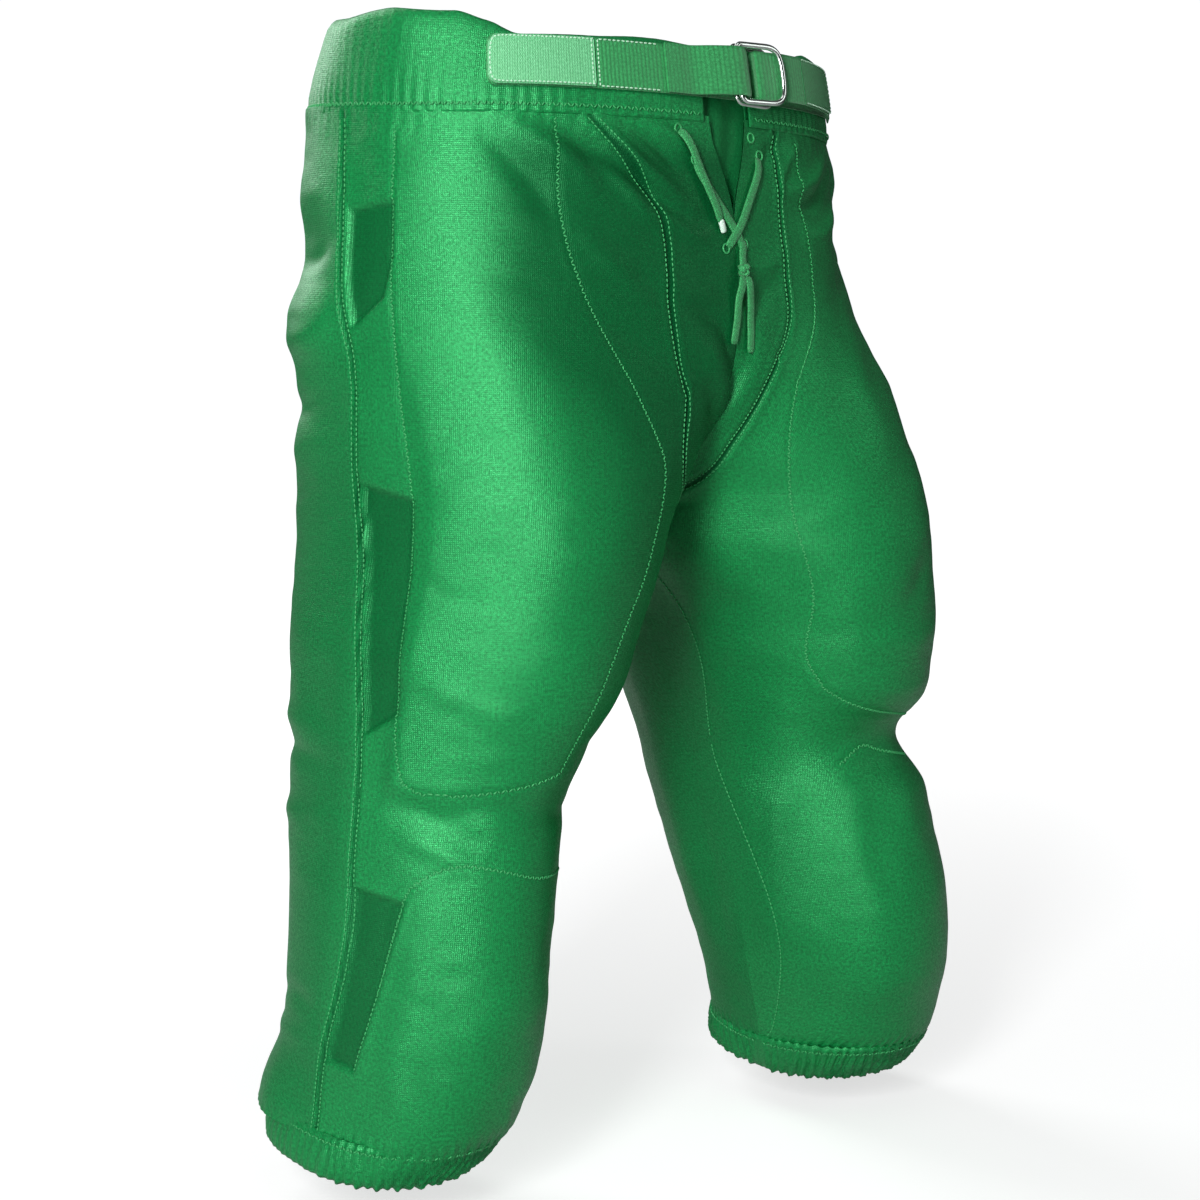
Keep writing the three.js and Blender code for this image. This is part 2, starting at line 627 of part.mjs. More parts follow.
add("lace_lower", laceAlong([[4, 116, laceAway], [3, 123, laceAway], [2, 129, laceAway]], laceCord, laceCord, 3), "lace");
const knot = new THREE.SphereGeometry(4.2, 10, 7);
const knotPlace = onFront(1.6, 134.5, 4.6);
knot.scale(1.25, 0.85, 1);
knot.translate(knotPlace.x, knotPlace.y, knotPlace.z);
add("lace_knot", outward(weld(knot)), "lace");
add("lace_end_right", laceAlong(
  [[-0.4, 140.2, 4], [-2.4, 149, laceAway + 1], [-3.4, 158, laceAway + 0.6], [-4, 167, laceAway + 0.6]],
  laceCord, laceCord, 9,
), "lace");
add("lace_end_left", laceAlong(
  [[4, 140.2, 4], [6.4, 150, laceAway + 1], [8.4, 162, laceAway + 0.6], [9, 176, laceAway + 0.6]],
  laceCord, laceCord, 10,
), "lace");

export default trousers;
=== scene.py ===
# Knee-length padded game trousers: satin knit cloth over foam pads, web belt with two D-rings, laced fly.
import math
import time
import bmesh
import bpy
import numpy as np
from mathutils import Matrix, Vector


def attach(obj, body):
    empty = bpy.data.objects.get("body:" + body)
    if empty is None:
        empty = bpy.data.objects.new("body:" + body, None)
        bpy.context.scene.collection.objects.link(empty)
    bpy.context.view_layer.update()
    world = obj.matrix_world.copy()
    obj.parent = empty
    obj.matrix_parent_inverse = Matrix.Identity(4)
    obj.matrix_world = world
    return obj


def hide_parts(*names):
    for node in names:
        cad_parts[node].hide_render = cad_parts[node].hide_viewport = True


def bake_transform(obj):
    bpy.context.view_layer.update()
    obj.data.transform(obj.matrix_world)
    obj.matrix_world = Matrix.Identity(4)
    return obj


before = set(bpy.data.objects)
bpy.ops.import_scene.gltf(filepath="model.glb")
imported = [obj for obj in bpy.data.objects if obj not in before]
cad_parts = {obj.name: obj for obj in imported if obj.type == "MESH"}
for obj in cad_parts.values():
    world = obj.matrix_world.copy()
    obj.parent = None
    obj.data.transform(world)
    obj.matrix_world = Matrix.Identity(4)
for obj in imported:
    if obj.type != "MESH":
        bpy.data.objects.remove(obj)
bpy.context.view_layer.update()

mm = 0.001
started = time.time()

# The cut of the trousers in millimetres, the same as the CAD's: depth below the waist, then reach out to the
# side, forward, back and in, and how far each leg leans sideways and back
rise = 275
inseam = 395
waistHalf = 174
crotchAt = rise
hipAt = rise * 0.51
hemAt = rise + inseam
cut = {
    "depth": [0, rise * 0.18, rise * 0.545, rise, rise + inseam * 0.215, rise + inseam * 0.443,
              rise + inseam * 0.696, rise + inseam * 0.899, hemAt],
    "out": [waistHalf + more for more in (0, 5, 8, 10, 17, 16, 11, 10, 2)],
    "front": [104, 112, 120, 124, 116, 92, 96, 83, 60],
    "back": [122, 148, 144, 126, 112, 95, 81, 78, 78],
    "in": [0, 0, 0, 0, 24, 44, 46, 58, 64],
    "rightX": [0, 0, 4, 0, 2, 8, 18, 22, 32],
    "rightY": [0, 0, 0, 0, 5, 10, 18, 26, 32],
    "leftX": [0, 0, 3, 24, 29, 38, 52, 67, 80],
    "leftY": [0, 0, -6, -28, -30, -32, -42, -36, -24],
}


def smooth(a, b, x):
    t = np.clip((x - a) / (b - a), 0, 1)
    return t * t * (3 - 2 * t)


def along(key, depth):
    at = np.array(cut["depth"], float)
    values = np.array(cut[key], float)
    slopes = np.diff(values) / np.diff(at)
    before = np.concatenate([slopes[:1], slopes])
    after = np.concatenate([slopes, slopes[-1:]])
    same = before * after > 0
    tangents = np.where(same, 2 * before * after / np.where(same, before + after, 1), 0)
    depth = np.asarray(depth, float)
    i = np.clip(np.searchsorted(at, depth, side="left") - 1, 0, len(slopes) - 1)
    span = at[i + 1] - at[i]
    t = np.clip((depth - at[i]) / span, 0, 1)
    a, b = values[i], values[i + 1]
    first, second = tangents[i] * span, tangents[i + 1] * span
    bend = 3 * (b - a) - 2 * first - second
    return a + t * first + t * t * bend + t**3 * (first + second - 2 * (b - a))


def plainSkin(side, u, depth):
    # u: 0 front middle or inner seam, 0.5 outer seam, 1 back middle or inner seam
    u, depth = np.broadcast_arrays(np.asarray(u, float), np.asarray(depth, float))
    sign = -1 if side == "right" else 1
    out, inner = along("out", depth), along("in", depth)
    part = np.clip((depth - hipAt) / (crotchAt - hipAt), 0, 1)
    above = depth < crotchAt
    half = along("out", crotchAt) / 2
    middle = np.where(above, part * half, (out + inner) / 2)
    inward = np.where(above, half, middle - inner)
    widest = np.where(above, np.arccos(-part), np.pi)
    eased = np.pi / 2 * (1 + smooth(hipAt, crotchAt, depth))
    turn = 1 - 2 * u
    angle = turn * (eased + (widest - eased) * turn**4)
    c, s = np.cos(angle), np.sin(angle)
    power = 2 / 2.2
    x = np.maximum(0, middle + np.where(c > 0, (out - middle) * np.abs(c) ** power, inward * c))
    reach = np.where(s > 0, along("front", depth), along("back", depth))
    y = -reach * np.sign(s) * np.abs(s) ** power
    free = smooth(crotchAt, crotchAt + 75, depth)
    moveX = free + (1 - free) * np.clip(x / 90, 0, 1)
    moveY = free + (1 - free) * smooth(0, 90, x)
    x = x + along(side + "X", depth) * moveX
    y = y + along(side + "Y", depth) * moveY
    behind = smooth(-60, 120, y)
    lift = (1 - smooth(0, rise * 0.45, depth)) * 12 + smooth(hemAt - 110, hemAt, depth) * 14
    return np.stack([sign * x, y, lift * behind - depth], -1)


# Where the legs part the cloth turns over this many millimetres
crotchTurn = {"reach": 20.0, "steps": (-21, -14, -7, 0, 7, 14, 21)}


def skin(side, u, depth):
    # the same shape, with the turn at the crotch eased
    u, depth = np.broadcast_arrays(np.asarray(u, float), np.asarray(depth, float))
    place = plainSkin(side, u, depth)
    ease = np.exp(-((depth - crotchAt) / crotchTurn["reach"]) ** 2)
    ease = ease * smooth(0.04, 0.10, u) * (1 - smooth(0.90, 0.96, u))
    near = ease > 0.01
    if np.any(near):
        steps = crotchTurn["steps"]
        around = sum(plainSkin(side, u[near], depth[near] + step)[..., :2] for step in steps) / len(steps)
        place[near, :2] += ease[near][:, None] * (around - place[near][:, :2])
    return place


def normalOf(side, u, depth):
    at = np.clip(u, 0.004, 0.996)
    a = skin(side, at + 0.003, depth) - skin(side, at - 0.003, depth)
    b = skin(side, at, np.asarray(depth) + 2.0) - skin(side, at, np.asarray(depth) - 2.0)
    n = np.cross(a, b)
    n /= np.maximum(np.linalg.norm(n, axis=-1, keepdims=True), 1e-9)
    return -n if side == "left" else n


def offSkin(side, u, depth, away):
    away = np.asarray(away, float)
    return skin(side, u, depth) + normalOf(side, u, depth) * away[..., None]


def fractionAt(side, x, depth, front=True):
    # the part round a side at which the cloth is x away from the middle, in front or behind
    x, depth = np.broadcast_arrays(np.asarray(x, float), np.asarray(depth, float))
    near = np.full(x.shape, 0.0 if front else 1.0)
    far = np.full(x.shape, 0.5)
    for _ in range(22):
        middle = (near + far) / 2
        past = np.abs(skin(side, middle, depth)[..., 0]) >= x
        far, near = np.where(past, middle, far), np.where(past, near, middle)
    return far


def acrossMiddle(x, depth, away, front=True, place=None):
    # places off the cloth beside the middle line, x from it: to the wearer's right where x is below 0
    place = place or offSkin
    x, depth, away = np.broadcast_arrays(*(np.asarray(k, float) for k in (x, depth, away)))
    both = [place(side, fractionAt(side, np.abs(x), depth, front), depth, away)
            for side in ("right", "left")]
    points = np.where((x < 0)[..., None], *both)
    points[..., 0] = x
    return points


def through(points, count):
    # a smooth curve through a few points, evenly stepped
    p = np.array(points, float)
    p = np.vstack([2 * p[0] - p[1], p, 2 * p[-1] - p[-2]])
    fine = []
    for i in range(1, len(p) - 2):
        t = np.linspace(0, 1, 24, endpoint=False)[:, None]
        a, b, c, d = p[i - 1], p[i], p[i + 1], p[i + 2]
        fine.append(0.5 * (2 * b + (c - a) * t + (2 * a - 5 * b + 4 * c - d) * t**2
                           + (3 * b - a - 3 * c + d) * t**3))
    fine = np.vstack(fine + [p[-2:-1]])
    length = np.concatenate([[0], np.cumsum(np.linalg.norm(np.diff(fine, axis=0), axis=1))])
    at = np.linspace(0, length[-1], count)
    return np.stack([np.interp(at, length, fine[:, k]) for k in range(p.shape[1])], -1)


def newMesh(name, points, faces, material, smoothShade=True):
    # points in millimetres
    mesh = bpy.data.meshes.new(name)
    mesh.from_pydata([tuple(v) for v in np.asarray(points) * mm], [],
                     [tuple(int(k) for k in f) for f in faces])
    mesh.validate()
    for polygon in mesh.polygons:
        polygon.use_smooth = smoothShade
    mesh.materials.append(material)
    obj = bpy.data.objects.new(name, mesh)
    bpy.context.scene.collection.objects.link(obj)
    return obj


def gridFaces(rows, cols, start=0, flip=False, wrapCols=False, wrapRows=False):
    faces = []
    for i in range(rows if wrapRows else rows - 1):
        for j in range(cols if wrapCols else cols - 1):
            a = start + i * cols + j
            b = start + i * cols + (j + 1) % cols
            c = start + ((i + 1) % rows) * cols + (j + 1) % cols
            d = start + ((i + 1) % rows) * cols + j
            faces.append((a, d, c, b) if flip else (a, b, c, d))
    return faces


def outward(obj):
    work = bmesh.new()
    work.from_mesh(obj.data)
    bmesh.ops.remove_doubles(work, verts=work.verts, dist=1e-6)
    bmesh.ops.recalc_face_normals(work, faces=work.faces)
    work.to_mesh(obj.data)
    work.free()
    return obj


def applied(obj):
    # the evaluated object as a plain mesh, without its modifiers
    graph = bpy.context.evaluated_depsgraph_get()
    mesh = bpy.data.meshes.new_from_object(obj.evaluated_get(graph))
    old = obj.data
    obj.modifiers.clear()
    obj.data = mesh
    bpy.data.meshes.remove(old)
    return obj


# Lines sewn into the cloth, as [part round one side, depth]: 0 is the front middle, 0.5 the outer seam
seamLines = {
    "right": {
        "outer": [(.542, 50), (.532, 96), (.527, 152), (.508, 197), (.508, 253), (.497, 322), (.485, 401),
                  (.482, 466), (.480, 525), (.497, 594), (.497, 645)],
        "cup": [(.177, 50), (.120, 80), (.085, 112), (.088, 152), (.120, 181), (.155, 209), (.176, 234),
                (.160, 256), (.10, 276), (.0, 288)],
        "pocketInner": [(.22, 52), (.215, 101), (.188, 147), (.215, 211), (.217, 256), (.222, 320),
                        (.245, 420)],
        "pocketBottom": [(.245, 420), (.315, 427), (.395, 430), (.427, 424)],
        "pocketOuter": [(.427, 424), (.443, 399), (.453, 343), (.458, 266), (.455, 200), (.448, 130),
                        (.450, 60)],
        "knee": [(.440, 550), (.415, 493), (.393, 478), (.352, 470), (.302, 474), (.245, 482), (.15, 486)],
        "kneeOuter": [(.415, 493), (.440, 550), (.458, 597)],
    },
    "left": {
        "outer": [(.542, 50), (.532, 96), (.527, 152), (.508, 197), (.508, 253), (.497, 322), (.485, 401),
                  (.482, 466), (.480, 525), (.497, 594), (.497, 645)],
        "cup": [(.075, 50), (.070, 85), (.071, 115), (.082, 160), (.083, 200), (.078, 232), (.064, 258),
                (.040, 278), (.0, 288)],
        "pocketInner": [(.115, 56), (.118, 97), (.122, 151), (.138, 211), (.156, 270), (.140, 332),
                        (.120, 368), (.138, 391)],
        "pocketBottom": [(.138, 391), (.170, 401), (.230, 412), (.33, 420), (.427, 424)],
        "pocketOuter": [(.427, 424), (.443, 399), (.453, 343), (.458, 266), (.455, 200), (.448, 130),
                        (.450, 60)],
        "knee": [(.16, 445), (.203, 436), (.250, 440), (.33, 446)],
        "kneeOuter": [(.415, 493), (.440, 550), (.458, 597)],
    },
}

# Raised and sunken places: from and to round the side, depths, height and the width of their soft edges
padShapes = {
    "right": [
        dict(u=(.215, .447), depth=(215, 432), high=3.2, softU=(.05, .012), softDepth=(70, 10)),
        dict(u=(.13, .41), depth=(482, 640), high=4.6, softU=(.08, .03), softDepth=(46, 40)),
        dict(u=(.53, .74), depth=(80, 190), high=3.0, softU=(.03, .06), softDepth=(30, 40)),
        dict(u=(.62, .80), depth=(330, 440), high=-3.0, softU=(.06, .06), softDepth=(50, 50)),
        dict(u=(.05, .22), depth=(408, 575), high=-8.0, softU=(.06, .06), softDepth=(34, 40)),
        dict(u=(.56, .72), depth=(104, 136), high=-5.0, softU=(.04, .06), softDepth=(14, 12)),
        dict(u=(.56, .72), depth=(150, 180), high=4.0, softU=(.04, .06), softDepth=(10, 12)),
        dict(u=(.56, .76), depth=(160, 420), high=3.0, softU=(.04, .06), softDepth=(20, 60)),
        dict(u=(.55, .75), depth=(610, 680), high=8.0, softU=(.04, .06), softDepth=(30, 10)),
    ],
    "left": [
        dict(u=(.14, .447), depth=(250, 404), high=4.8, softU=(.04, .02), softDepth=(90, 14)),
        dict(u=(.16, .52), depth=(418, 450), high=-12.0, softU=(.09, .06), softDepth=(16, 18)),
        dict(u=(.26, .50), depth=(250, 395), high=-2.0, softU=(.06, .06), softDepth=(26, 26)),
        dict(u=(.26, .52), depth=(130, 225), high=6.0, softU=(.08, .06), softDepth=(26, 24)),
        dict(u=(.26, .50), depth=(56, 84), high=5.0, softU=(.06, .06), softDepth=(10, 12)),
        dict(u=(.26, .50), depth=(98, 116), high=-4.0, softU=(.06, .06), softDepth=(8, 10)),
        dict(u=(.80, .95), depth=(310, 560), high=8.0, softU=(.06, .03), softDepth=(40, 50)),
        dict(u=(.13, .41), depth=(452, 610), high=6.0, softU=(.06, .03), softDepth=(30, 50)),
        dict(u=(.53, .74), depth=(80, 190), high=3.0, softU=(.03, .06), softDepth=(30, 40)),
        dict(u=(.62, .80), depth=(330, 440), high=-3.0, softU=(.06, .06), softDepth=(50, 50)),
    ],
}

# Sunken places with straight edges, where the cloth bridges from a pad pocket to the outer seam; shade is
# how much painted shade darkens them
sunkPlaces = {"deep": 2.6, "shade": 0.62, "soft": 1.6, "outlines": [
    [(.457, 264), (.5035, 257), (.498, 290), (.493, 322), (.487, 360), (.481, 399), (.446, 385),
     (.454, 330)],
    [(.415, 493), (.477, 488), (.476, 525), (.484, 560), (.493, 594), (.458, 597), (.440, 550)],
    [(.450, 98), (.447, 130), (.462, 152), (.510, 168), (.520, 130), (.520, 102)],
]}


def insideOutline(side, s, depth, outline, soft):
    # 1 inside an outline on the cloth and 0 outside it, with a soft edge
    corners = np.array(outline + outline[:1], float)
    cornerS, cornerD = lookUp(arcTable[side], corners[:, 0], corners[:, 1]), corners[:, 1]
    mask = np.zeros(s.shape)
    near = ((s > cornerS.min() - 9) & (s < cornerS.max() + 9)
            & (depth > cornerD.min() - 9) & (depth < cornerD.max() + 9))
    if not near.any():
        return mask
    x, y = s[near], depth[near]
    gap, within = np.full(x.shape, 1e3), np.zeros(x.shape, bool)
    for ax, ay, bx, by in zip(cornerS[:-1], cornerD[:-1], cornerS[1:], cornerD[1:]):
        t = np.clip(((x - ax) * (bx - ax) + (y - ay) * (by - ay)) / ((bx - ax) ** 2 + (by - ay) ** 2), 0, 1)
        gap = np.minimum(gap, np.hypot(x - ax - t * (bx - ax), y - ay - t * (by - ay)))
        if by != ay:
            within ^= ((ay > y) != (by > y)) & (x < ax + (y - ay) / (by - ay) * (bx - ax))
    mask[near] = smooth(-soft, soft, np.where(within, gap, -gap))
    return mask


# Patches of painted shade: the inner thigh, the seat gore and the fly, and a strip behind the right leg's
# outer seam
paintedShadeShapes = {
    "right": [dict(u=(-.2, .295), depth=(62, 300), deep=.74, softU=(.01, .055), softDepth=(14, 90)),
              dict(u=(-.2, .22), depth=(340, 520), deep=.34, softU=(.01, .08), softDepth=(60, 60)),
              dict(u=(.50, .70), depth=(240, 640), deep=.22, softU=(.01, .08), softDepth=(40, 30))],
    "left": [dict(u=(-.2, .085), depth=(40, 560), deep=.30, softU=(.01, .03), softDepth=(10, 60)),
             dict(u=(.85, 1.2), depth=(260, 660), deep=.30, softU=(.08, .01), softDepth=(40, 30))],
}

# Folds in the cloth: points, height and width in millimetres
foldShapes = {
    "right": [
        ([(.172, 52), (.11, 78), (.05, 100)], 4.4, 5), ([(.16, 64), (.10, 92), (.06, 104)], -4.2, 4.5),
        ([(.165, 76), (.12, 96), (.095, 112)], 3.0, 4.5), ([(.13, 54), (.09, 66), (.06, 82)], -3.2, 4),
        ([(.105, 52), (.07, 60), (.045, 74)], 2.8, 3.5), ([(.23, 54), (.17, 70), (.13, 84)], -3.4, 5),
        ([(.29, 52), (.21, 72), (.16, 98)], 3.2, 6), ([(.33, 54), (.26, 84), (.20, 120)], -2.8, 8),
        ([(.20, 110), (.15, 132), (.11, 160)], 1.8, 7), ([(.21, 140), (.17, 168), (.14, 196)], -1.6, 8),
        ([(.075, 150), (.04, 168), (.02, 200)], -2.2, 6), ([(.085, 176), (.055, 196), (.04, 226)], 2.0, 7),
        ([(.11, 196), (.08, 216), (.06, 246)], -1.6, 6), ([(.03, 186), (.02, 214), (.015, 246)], 1.6, 6),
        ([(.46, 300), (.42, 316), (.37, 322)], -1.2, 6), ([(.44, 356), (.38, 376), (.30, 388)], 1.6, 9),
        ([(.45, 430), (.38, 446), (.31, 462)], -2.4, 8), ([(.44, 452), (.38, 462), (.33, 468)], 2.0, 6),
        ([(.30, 60), (.24, 74), (.18, 96)], 1.4, 6), ([(.26, 56), (.20, 66), (.16, 84)], -1.0, 4),
        ([(.105, 96), (.06, 112), (.02, 118)], 1.6, 5), ([(.12, 130), (.06, 150), (.02, 146)], 1.2, 6),
        ([(.11, 160), (.06, 190), (.05, 230)], 1.8, 11), ([(.54, 118), (.62, 130), (.70, 128)], -1.8, 6),
        ([(.53, 160), (.60, 176), (.68, 178)], 2.2, 8), ([(.53, 206), (.62, 216), (.72, 210)], -3.0, 8),
        ([(.53, 232), (.61, 240), (.70, 238)], 2.0, 9), ([(.55, 262), (.66, 268)], -1.4, 8),
        ([(.51, 404), (.60, 398), (.70, 402)], 1.8, 7), ([(.51, 420), (.62, 416), (.74, 422)], -2.2, 6),
        ([(.51, 448), (.60, 455), (.72, 452)], 1.8, 6), ([(.51, 566), (.58, 560), (.66, 570)], -2.0, 6),
        ([(.51, 584), (.60, 588), (.70, 584)], 1.6, 6), ([(.04, 330), (.10, 350), (.17, 384)], 1.5, 9),
        ([(.02, 380), (.09, 392), (.16, 412)], -2.0, 7), ([(.03, 402), (.11, 414), (.2, 440)], 1.8, 7),
        ([(.10, 446), (.18, 452), (.27, 446)], -2.0, 6), ([(.24, 452), (.32, 448), (.40, 452)], 1.2, 7),
        ([(.36, 120), (.33, 190), (.34, 280)], 1.3, 18), ([(.27, 130), (.28, 220), (.29, 330)], -1.0, 14),
        ([(.25, 610), (.30, 585), (.34, 550)], 1.2, 9), ([(.30, 636), (.36, 610), (.40, 570)], -1.2, 8),
        ([(.20, 640), (.24, 615)], 1.4, 5), ([(.86, 150), (.78, 180), (.70, 200)], 1.6, 10),
        ([(.90, 230), (.82, 244), (.74, 262)], -2.4, 9), ([(.92, 256), (.84, 272), (.76, 292)], 2.4, 9),
        ([(.94, 300), (.88, 320), (.80, 336)], -1.8, 9), ([(.94, 70), (.88, 96), (.80, 112)], 1.5, 9),
    ],
    "left": [
        ([(.24, 58), (.15, 78), (.075, 86)], 4.2, 5), ([(.24, 72), (.16, 90), (.10, 96)], -4.0, 4.5),
        ([(.26, 88), (.18, 106), (.12, 110)], 3.4, 5), ([(.10, 54), (.06, 64), (.045, 80)], -1.8, 4),
        ([(.13, 56), (.09, 70), (.065, 92)], 1.8, 4), ([(.30, 56), (.27, 74), (.25, 92)], -1.6, 5),
        ([(.055, 140), (.035, 160), (.02, 190)], -2.0, 6), ([(.065, 176), (.045, 200), (.03, 232)], 1.8, 7),
        ([(.22, 452), (.19, 490), (.20, 540)], -1.8, 10), ([(.28, 446), (.25, 480), (.27, 520)], 1.8, 12),
        ([(.12, 560), (.10, 600), (.11, 640)], -1.4, 7), ([(.17, 380), (.22, 392), (.30, 396)], 1.8, 7),
        ([(.30, 76), (.22, 104), (.14, 118)], 1.8, 8), ([(.34, 112), (.26, 134), (.20, 140)], -2.2, 8),
        ([(.08, 120), (.04, 132), (.01, 130)], 1.4, 5), ([(.07, 160), (.05, 200), (.03, 240)], 1.5, 9),
        ([(.24, 150), (.22, 200), (.25, 240)], 1.8, 12), ([(.10, 330), (.06, 360), (.04, 400)], 1.5, 10),
        ([(.30, 300), (.26, 330), (.22, 340)], -1.5, 9), ([(.34, 352), (.26, 362), (.18, 356)], 2.0, 8),
        ([(.38, 424), (.28, 424), (.16, 410)], -2.0, 6), ([(.12, 450), (.08, 470), (.05, 520)], 1.4, 9),
        ([(.54, 118), (.62, 130), (.70, 128)], -1.8, 6), ([(.53, 160), (.60, 176), (.68, 178)], 2.2, 8),
        ([(.53, 206), (.62, 216), (.72, 210)], -3.0, 8), ([(.53, 232), (.61, 240), (.70, 238)], 2.0, 9),
        ([(.51, 404), (.60, 398), (.70, 402)], 1.8, 7), ([(.51, 420), (.62, 416), (.74, 422)], -2.2, 6),
        ([(.51, 566), (.58, 560), (.66, 570)], -2.0, 6), ([(.51, 584), (.60, 588), (.70, 584)], 1.6, 6),
        ([(.90, 230), (.82, 244), (.74, 262)], -2.4, 9), ([(.92, 256), (.84, 272), (.76, 292)], 2.4, 9),
        ([(.86, 150), (.78, 180), (.70, 200)], 1.6, 10), ([(.94, 70), (.88, 96), (.80, 112)], 1.5, 9),
    ],
}

# Arc length round each side, from the outer seam, so that distances on the cloth are in millimetres
tableDepth = np.linspace(0, hemAt + 8, 114)
tableU = np.linspace(0, 1, 201)
arcTable = {}
for side in ("right", "left"):
    ring = skin(side, tableU[None, :], tableDepth[:, None])
    steps = np.linalg.norm(np.diff(ring, axis=1), axis=2)
    arc = np.concatenate([np.zeros((len(tableDepth), 1)), np.cumsum(steps, 1)], 1)
    arcTable[side] = arc - arc[:, 100:101]


def lookUp(table, u, depth):
    x = np.clip(np.asarray(u, float) * 200, 0, 199.999)
    y = np.clip(np.asarray(depth, float) / tableDepth[1], 0, len(tableDepth) - 1.001)
    i, j = y.astype(int), x.astype(int)
    y, x = y - i, x - j
    return ((table[i, j] * (1 - x) + table[i, j + 1] * x) * (1 - y)
            + (table[i + 1, j] * (1 - x) + table[i + 1, j + 1] * x) * y)


def perMillimetre(side, u, depth):
    # how much u changes in one millimetre round the side
    at = np.clip(u, 0.02, 0.98)
    gone = lookUp(arcTable[side], at + 0.01, depth) - lookUp(arcTable[side], at - 0.01, depth)
    return 0.02 / np.maximum(gone, 0.5)


def distanceTo(side, s, depth, line, reach):
    # millimetres to a line on the cloth, and how far along it the nearest place is, from 0 to 1
    fine, lineS = lineOn(side, line, 5 * len(line))
    bestAll, partAll = np.full(s.shape, 1e3), np.zeros(s.shape)
    near = ((s > lineS.min() - reach) & (s < lineS.max() + reach)
            & (depth > fine[:, 1].min() - reach) & (depth < fine[:, 1].max() + reach))
    if not near.any():
        return bestAll, partAll
    s, depth = s[near], depth[near]
    best, part = np.full(s.shape, 1e3), np.zeros(s.shape)
    for k in range(len(fine) - 1):
        aS, aD = lineS[k], fine[k, 1]
        dS, dD = lineS[k + 1] - aS, fine[k + 1, 1] - aD
        t = np.clip(((s - aS) * dS + (depth - aD) * dD) / max(dS * dS + dD * dD, 1e-6), 0, 1)
        gap = np.hypot(s - aS - t * dS, depth - aD - t * dD)
        nearer = gap < best
        best = np.where(nearer, gap, best)
        part = np.where(nearer, (k + t) / (len(fine) - 1), part)
    bestAll[near], partAll[near] = best, part
    return bestAll, partAll


def lineOn(side, line, count):
    # a smooth line on the cloth through [part round, depth] points, evenly stepped
    corners = np.array(line, float)
    corners[:, 0] = lookUp(arcTable[side], corners[:, 0], corners[:, 1])
    fine = through(corners, count)
    at = [np.interp(s, lookUp(arcTable[side], tableU, np.full(tableU.shape, d)), tableU) for s, d in fine]
    return np.stack([at, fine[:, 1]], -1), fine[:, 0]


noiseRandom = np.random.default_rng(7)
noiseValues = noiseRandom.uniform(-1, 1, (32, 32, 32))


def softNoise(p, size):
    # smooth noise from -1 to 1 whose lumps are about size apart
    q = p / size + 100
    cell = np.floor(q).astype(int)
    f = q - cell
    f = f * f * (3 - 2 * f)
    total = 0
    for dx in (0, 1):
        for dy in (0, 1):
            for dz in (0, 1):
                w = (np.where(dx, f[..., 0], 1 - f[..., 0]) * np.where(dy, f[..., 1], 1 - f[..., 1])
                     * np.where(dz, f[..., 2], 1 - f[..., 2]))
                total = total + w * noiseValues[(cell[..., 0] + dx) % 32, (cell[..., 1] + dy) % 32,
                                                (cell[..., 2] + dz) % 32]
    return total


def edged(a, b, softA, softB, x):
    return smooth(a - softA, a + softA, x) * (1 - smooth(b - softB, b + softB, x))


def relief(side, u, depth):
    # how far the cloth stands off its smooth shape, and how light it is (1) or shaded (0)
    u, depth = np.broadcast_arrays(np.asarray(u, float), np.asarray(depth, float))
    high = np.zeros(u.shape)
    tone = np.ones(u.shape)
    for pad in padShapes[side]:
        here = (edged(*pad["u"], *pad["softU"], u) * edged(*pad["depth"], *pad["softDepth"], depth))
        high = high + pad["high"] * here
    s = lookUp(arcTable[side], u, depth)
    for outline in sunkPlaces["outlines"]:
        here = insideOutline(side, s, depth, outline, sunkPlaces["soft"])
        high = high - sunkPlaces["deep"] * here
        # painted shade in the sunken places
        tone = tone - sunkPlaces["shade"] * here
    # painted shade: darker patches where the cloth turns away from the light
    for shade in paintedShadeShapes[side]:
        here = edged(*shade["u"], *shade["softU"], u) * edged(*shade["depth"], *shade["softDepth"], depth)
        tone = tone - shade["deep"] * here
    for line, height, wide in foldShapes[side]:
        gap, part = distanceTo(side, s, depth, line, 3 * wide)
        high = high + height * np.exp(-(gap / wide) ** 2) * np.sin(np.pi * np.clip(part, 0.06, 0.94))
    place = skin(side, u, depth)
    high = high + 2.0 * softNoise(place * (1, 1, 0.7), 78) + 1.0 * softNoise(place * (1, 1, 1.3), 38)
    high = high + 0.35 * softNoise(place * (1, 1, 1.8), 16)
    free = smooth(0, 0.035, u) * (1 - smooth(0.965, 1, u))
    high = high * free
    cup = np.exp(-(place[..., 0] / 34) ** 2) * edged(150, 262, 40, 16, depth) * (u < 0.5)
    high = high + 3.0 * cup
    for name, line in seamLines[side].items():
        gap, part = distanceTo(side, s, depth, line, 12)
        double = name in ("outer", "cup")
        deep = 1.3 if double else 0.2
        welt = 0.5 if double else 0.15
        high = high - deep * np.exp(-(gap / 1.7) ** 2) + welt * np.exp(-((gap - 3.6) / 2.0) ** 2)
        # painted shade along the seam grooves
        tone = tone - (0.8 if double else 0.08) * np.exp(-(gap / 1.5) ** 2)
    gathers = np.sin(s * 0.86 + 1.5 * softNoise(place, 20))
    pull = smooth(628, 650, depth) * (1 - 0.75 * smooth(0.42, 0.5, u) * (1 - smooth(0.72, 0.8, u)))
    high = high + 1.3 * gathers * pull * (0.7 + 0.3 * softNoise(place, 9))
    puckers = np.sin(s * 0.62 + 2 * softNoise(place, 26))
    high = high + 0.16 * puckers * (1 - smooth(50, 72, depth)) * smooth(0.06, 0.12, u)
    return high, np.clip(tone, 0, 1)


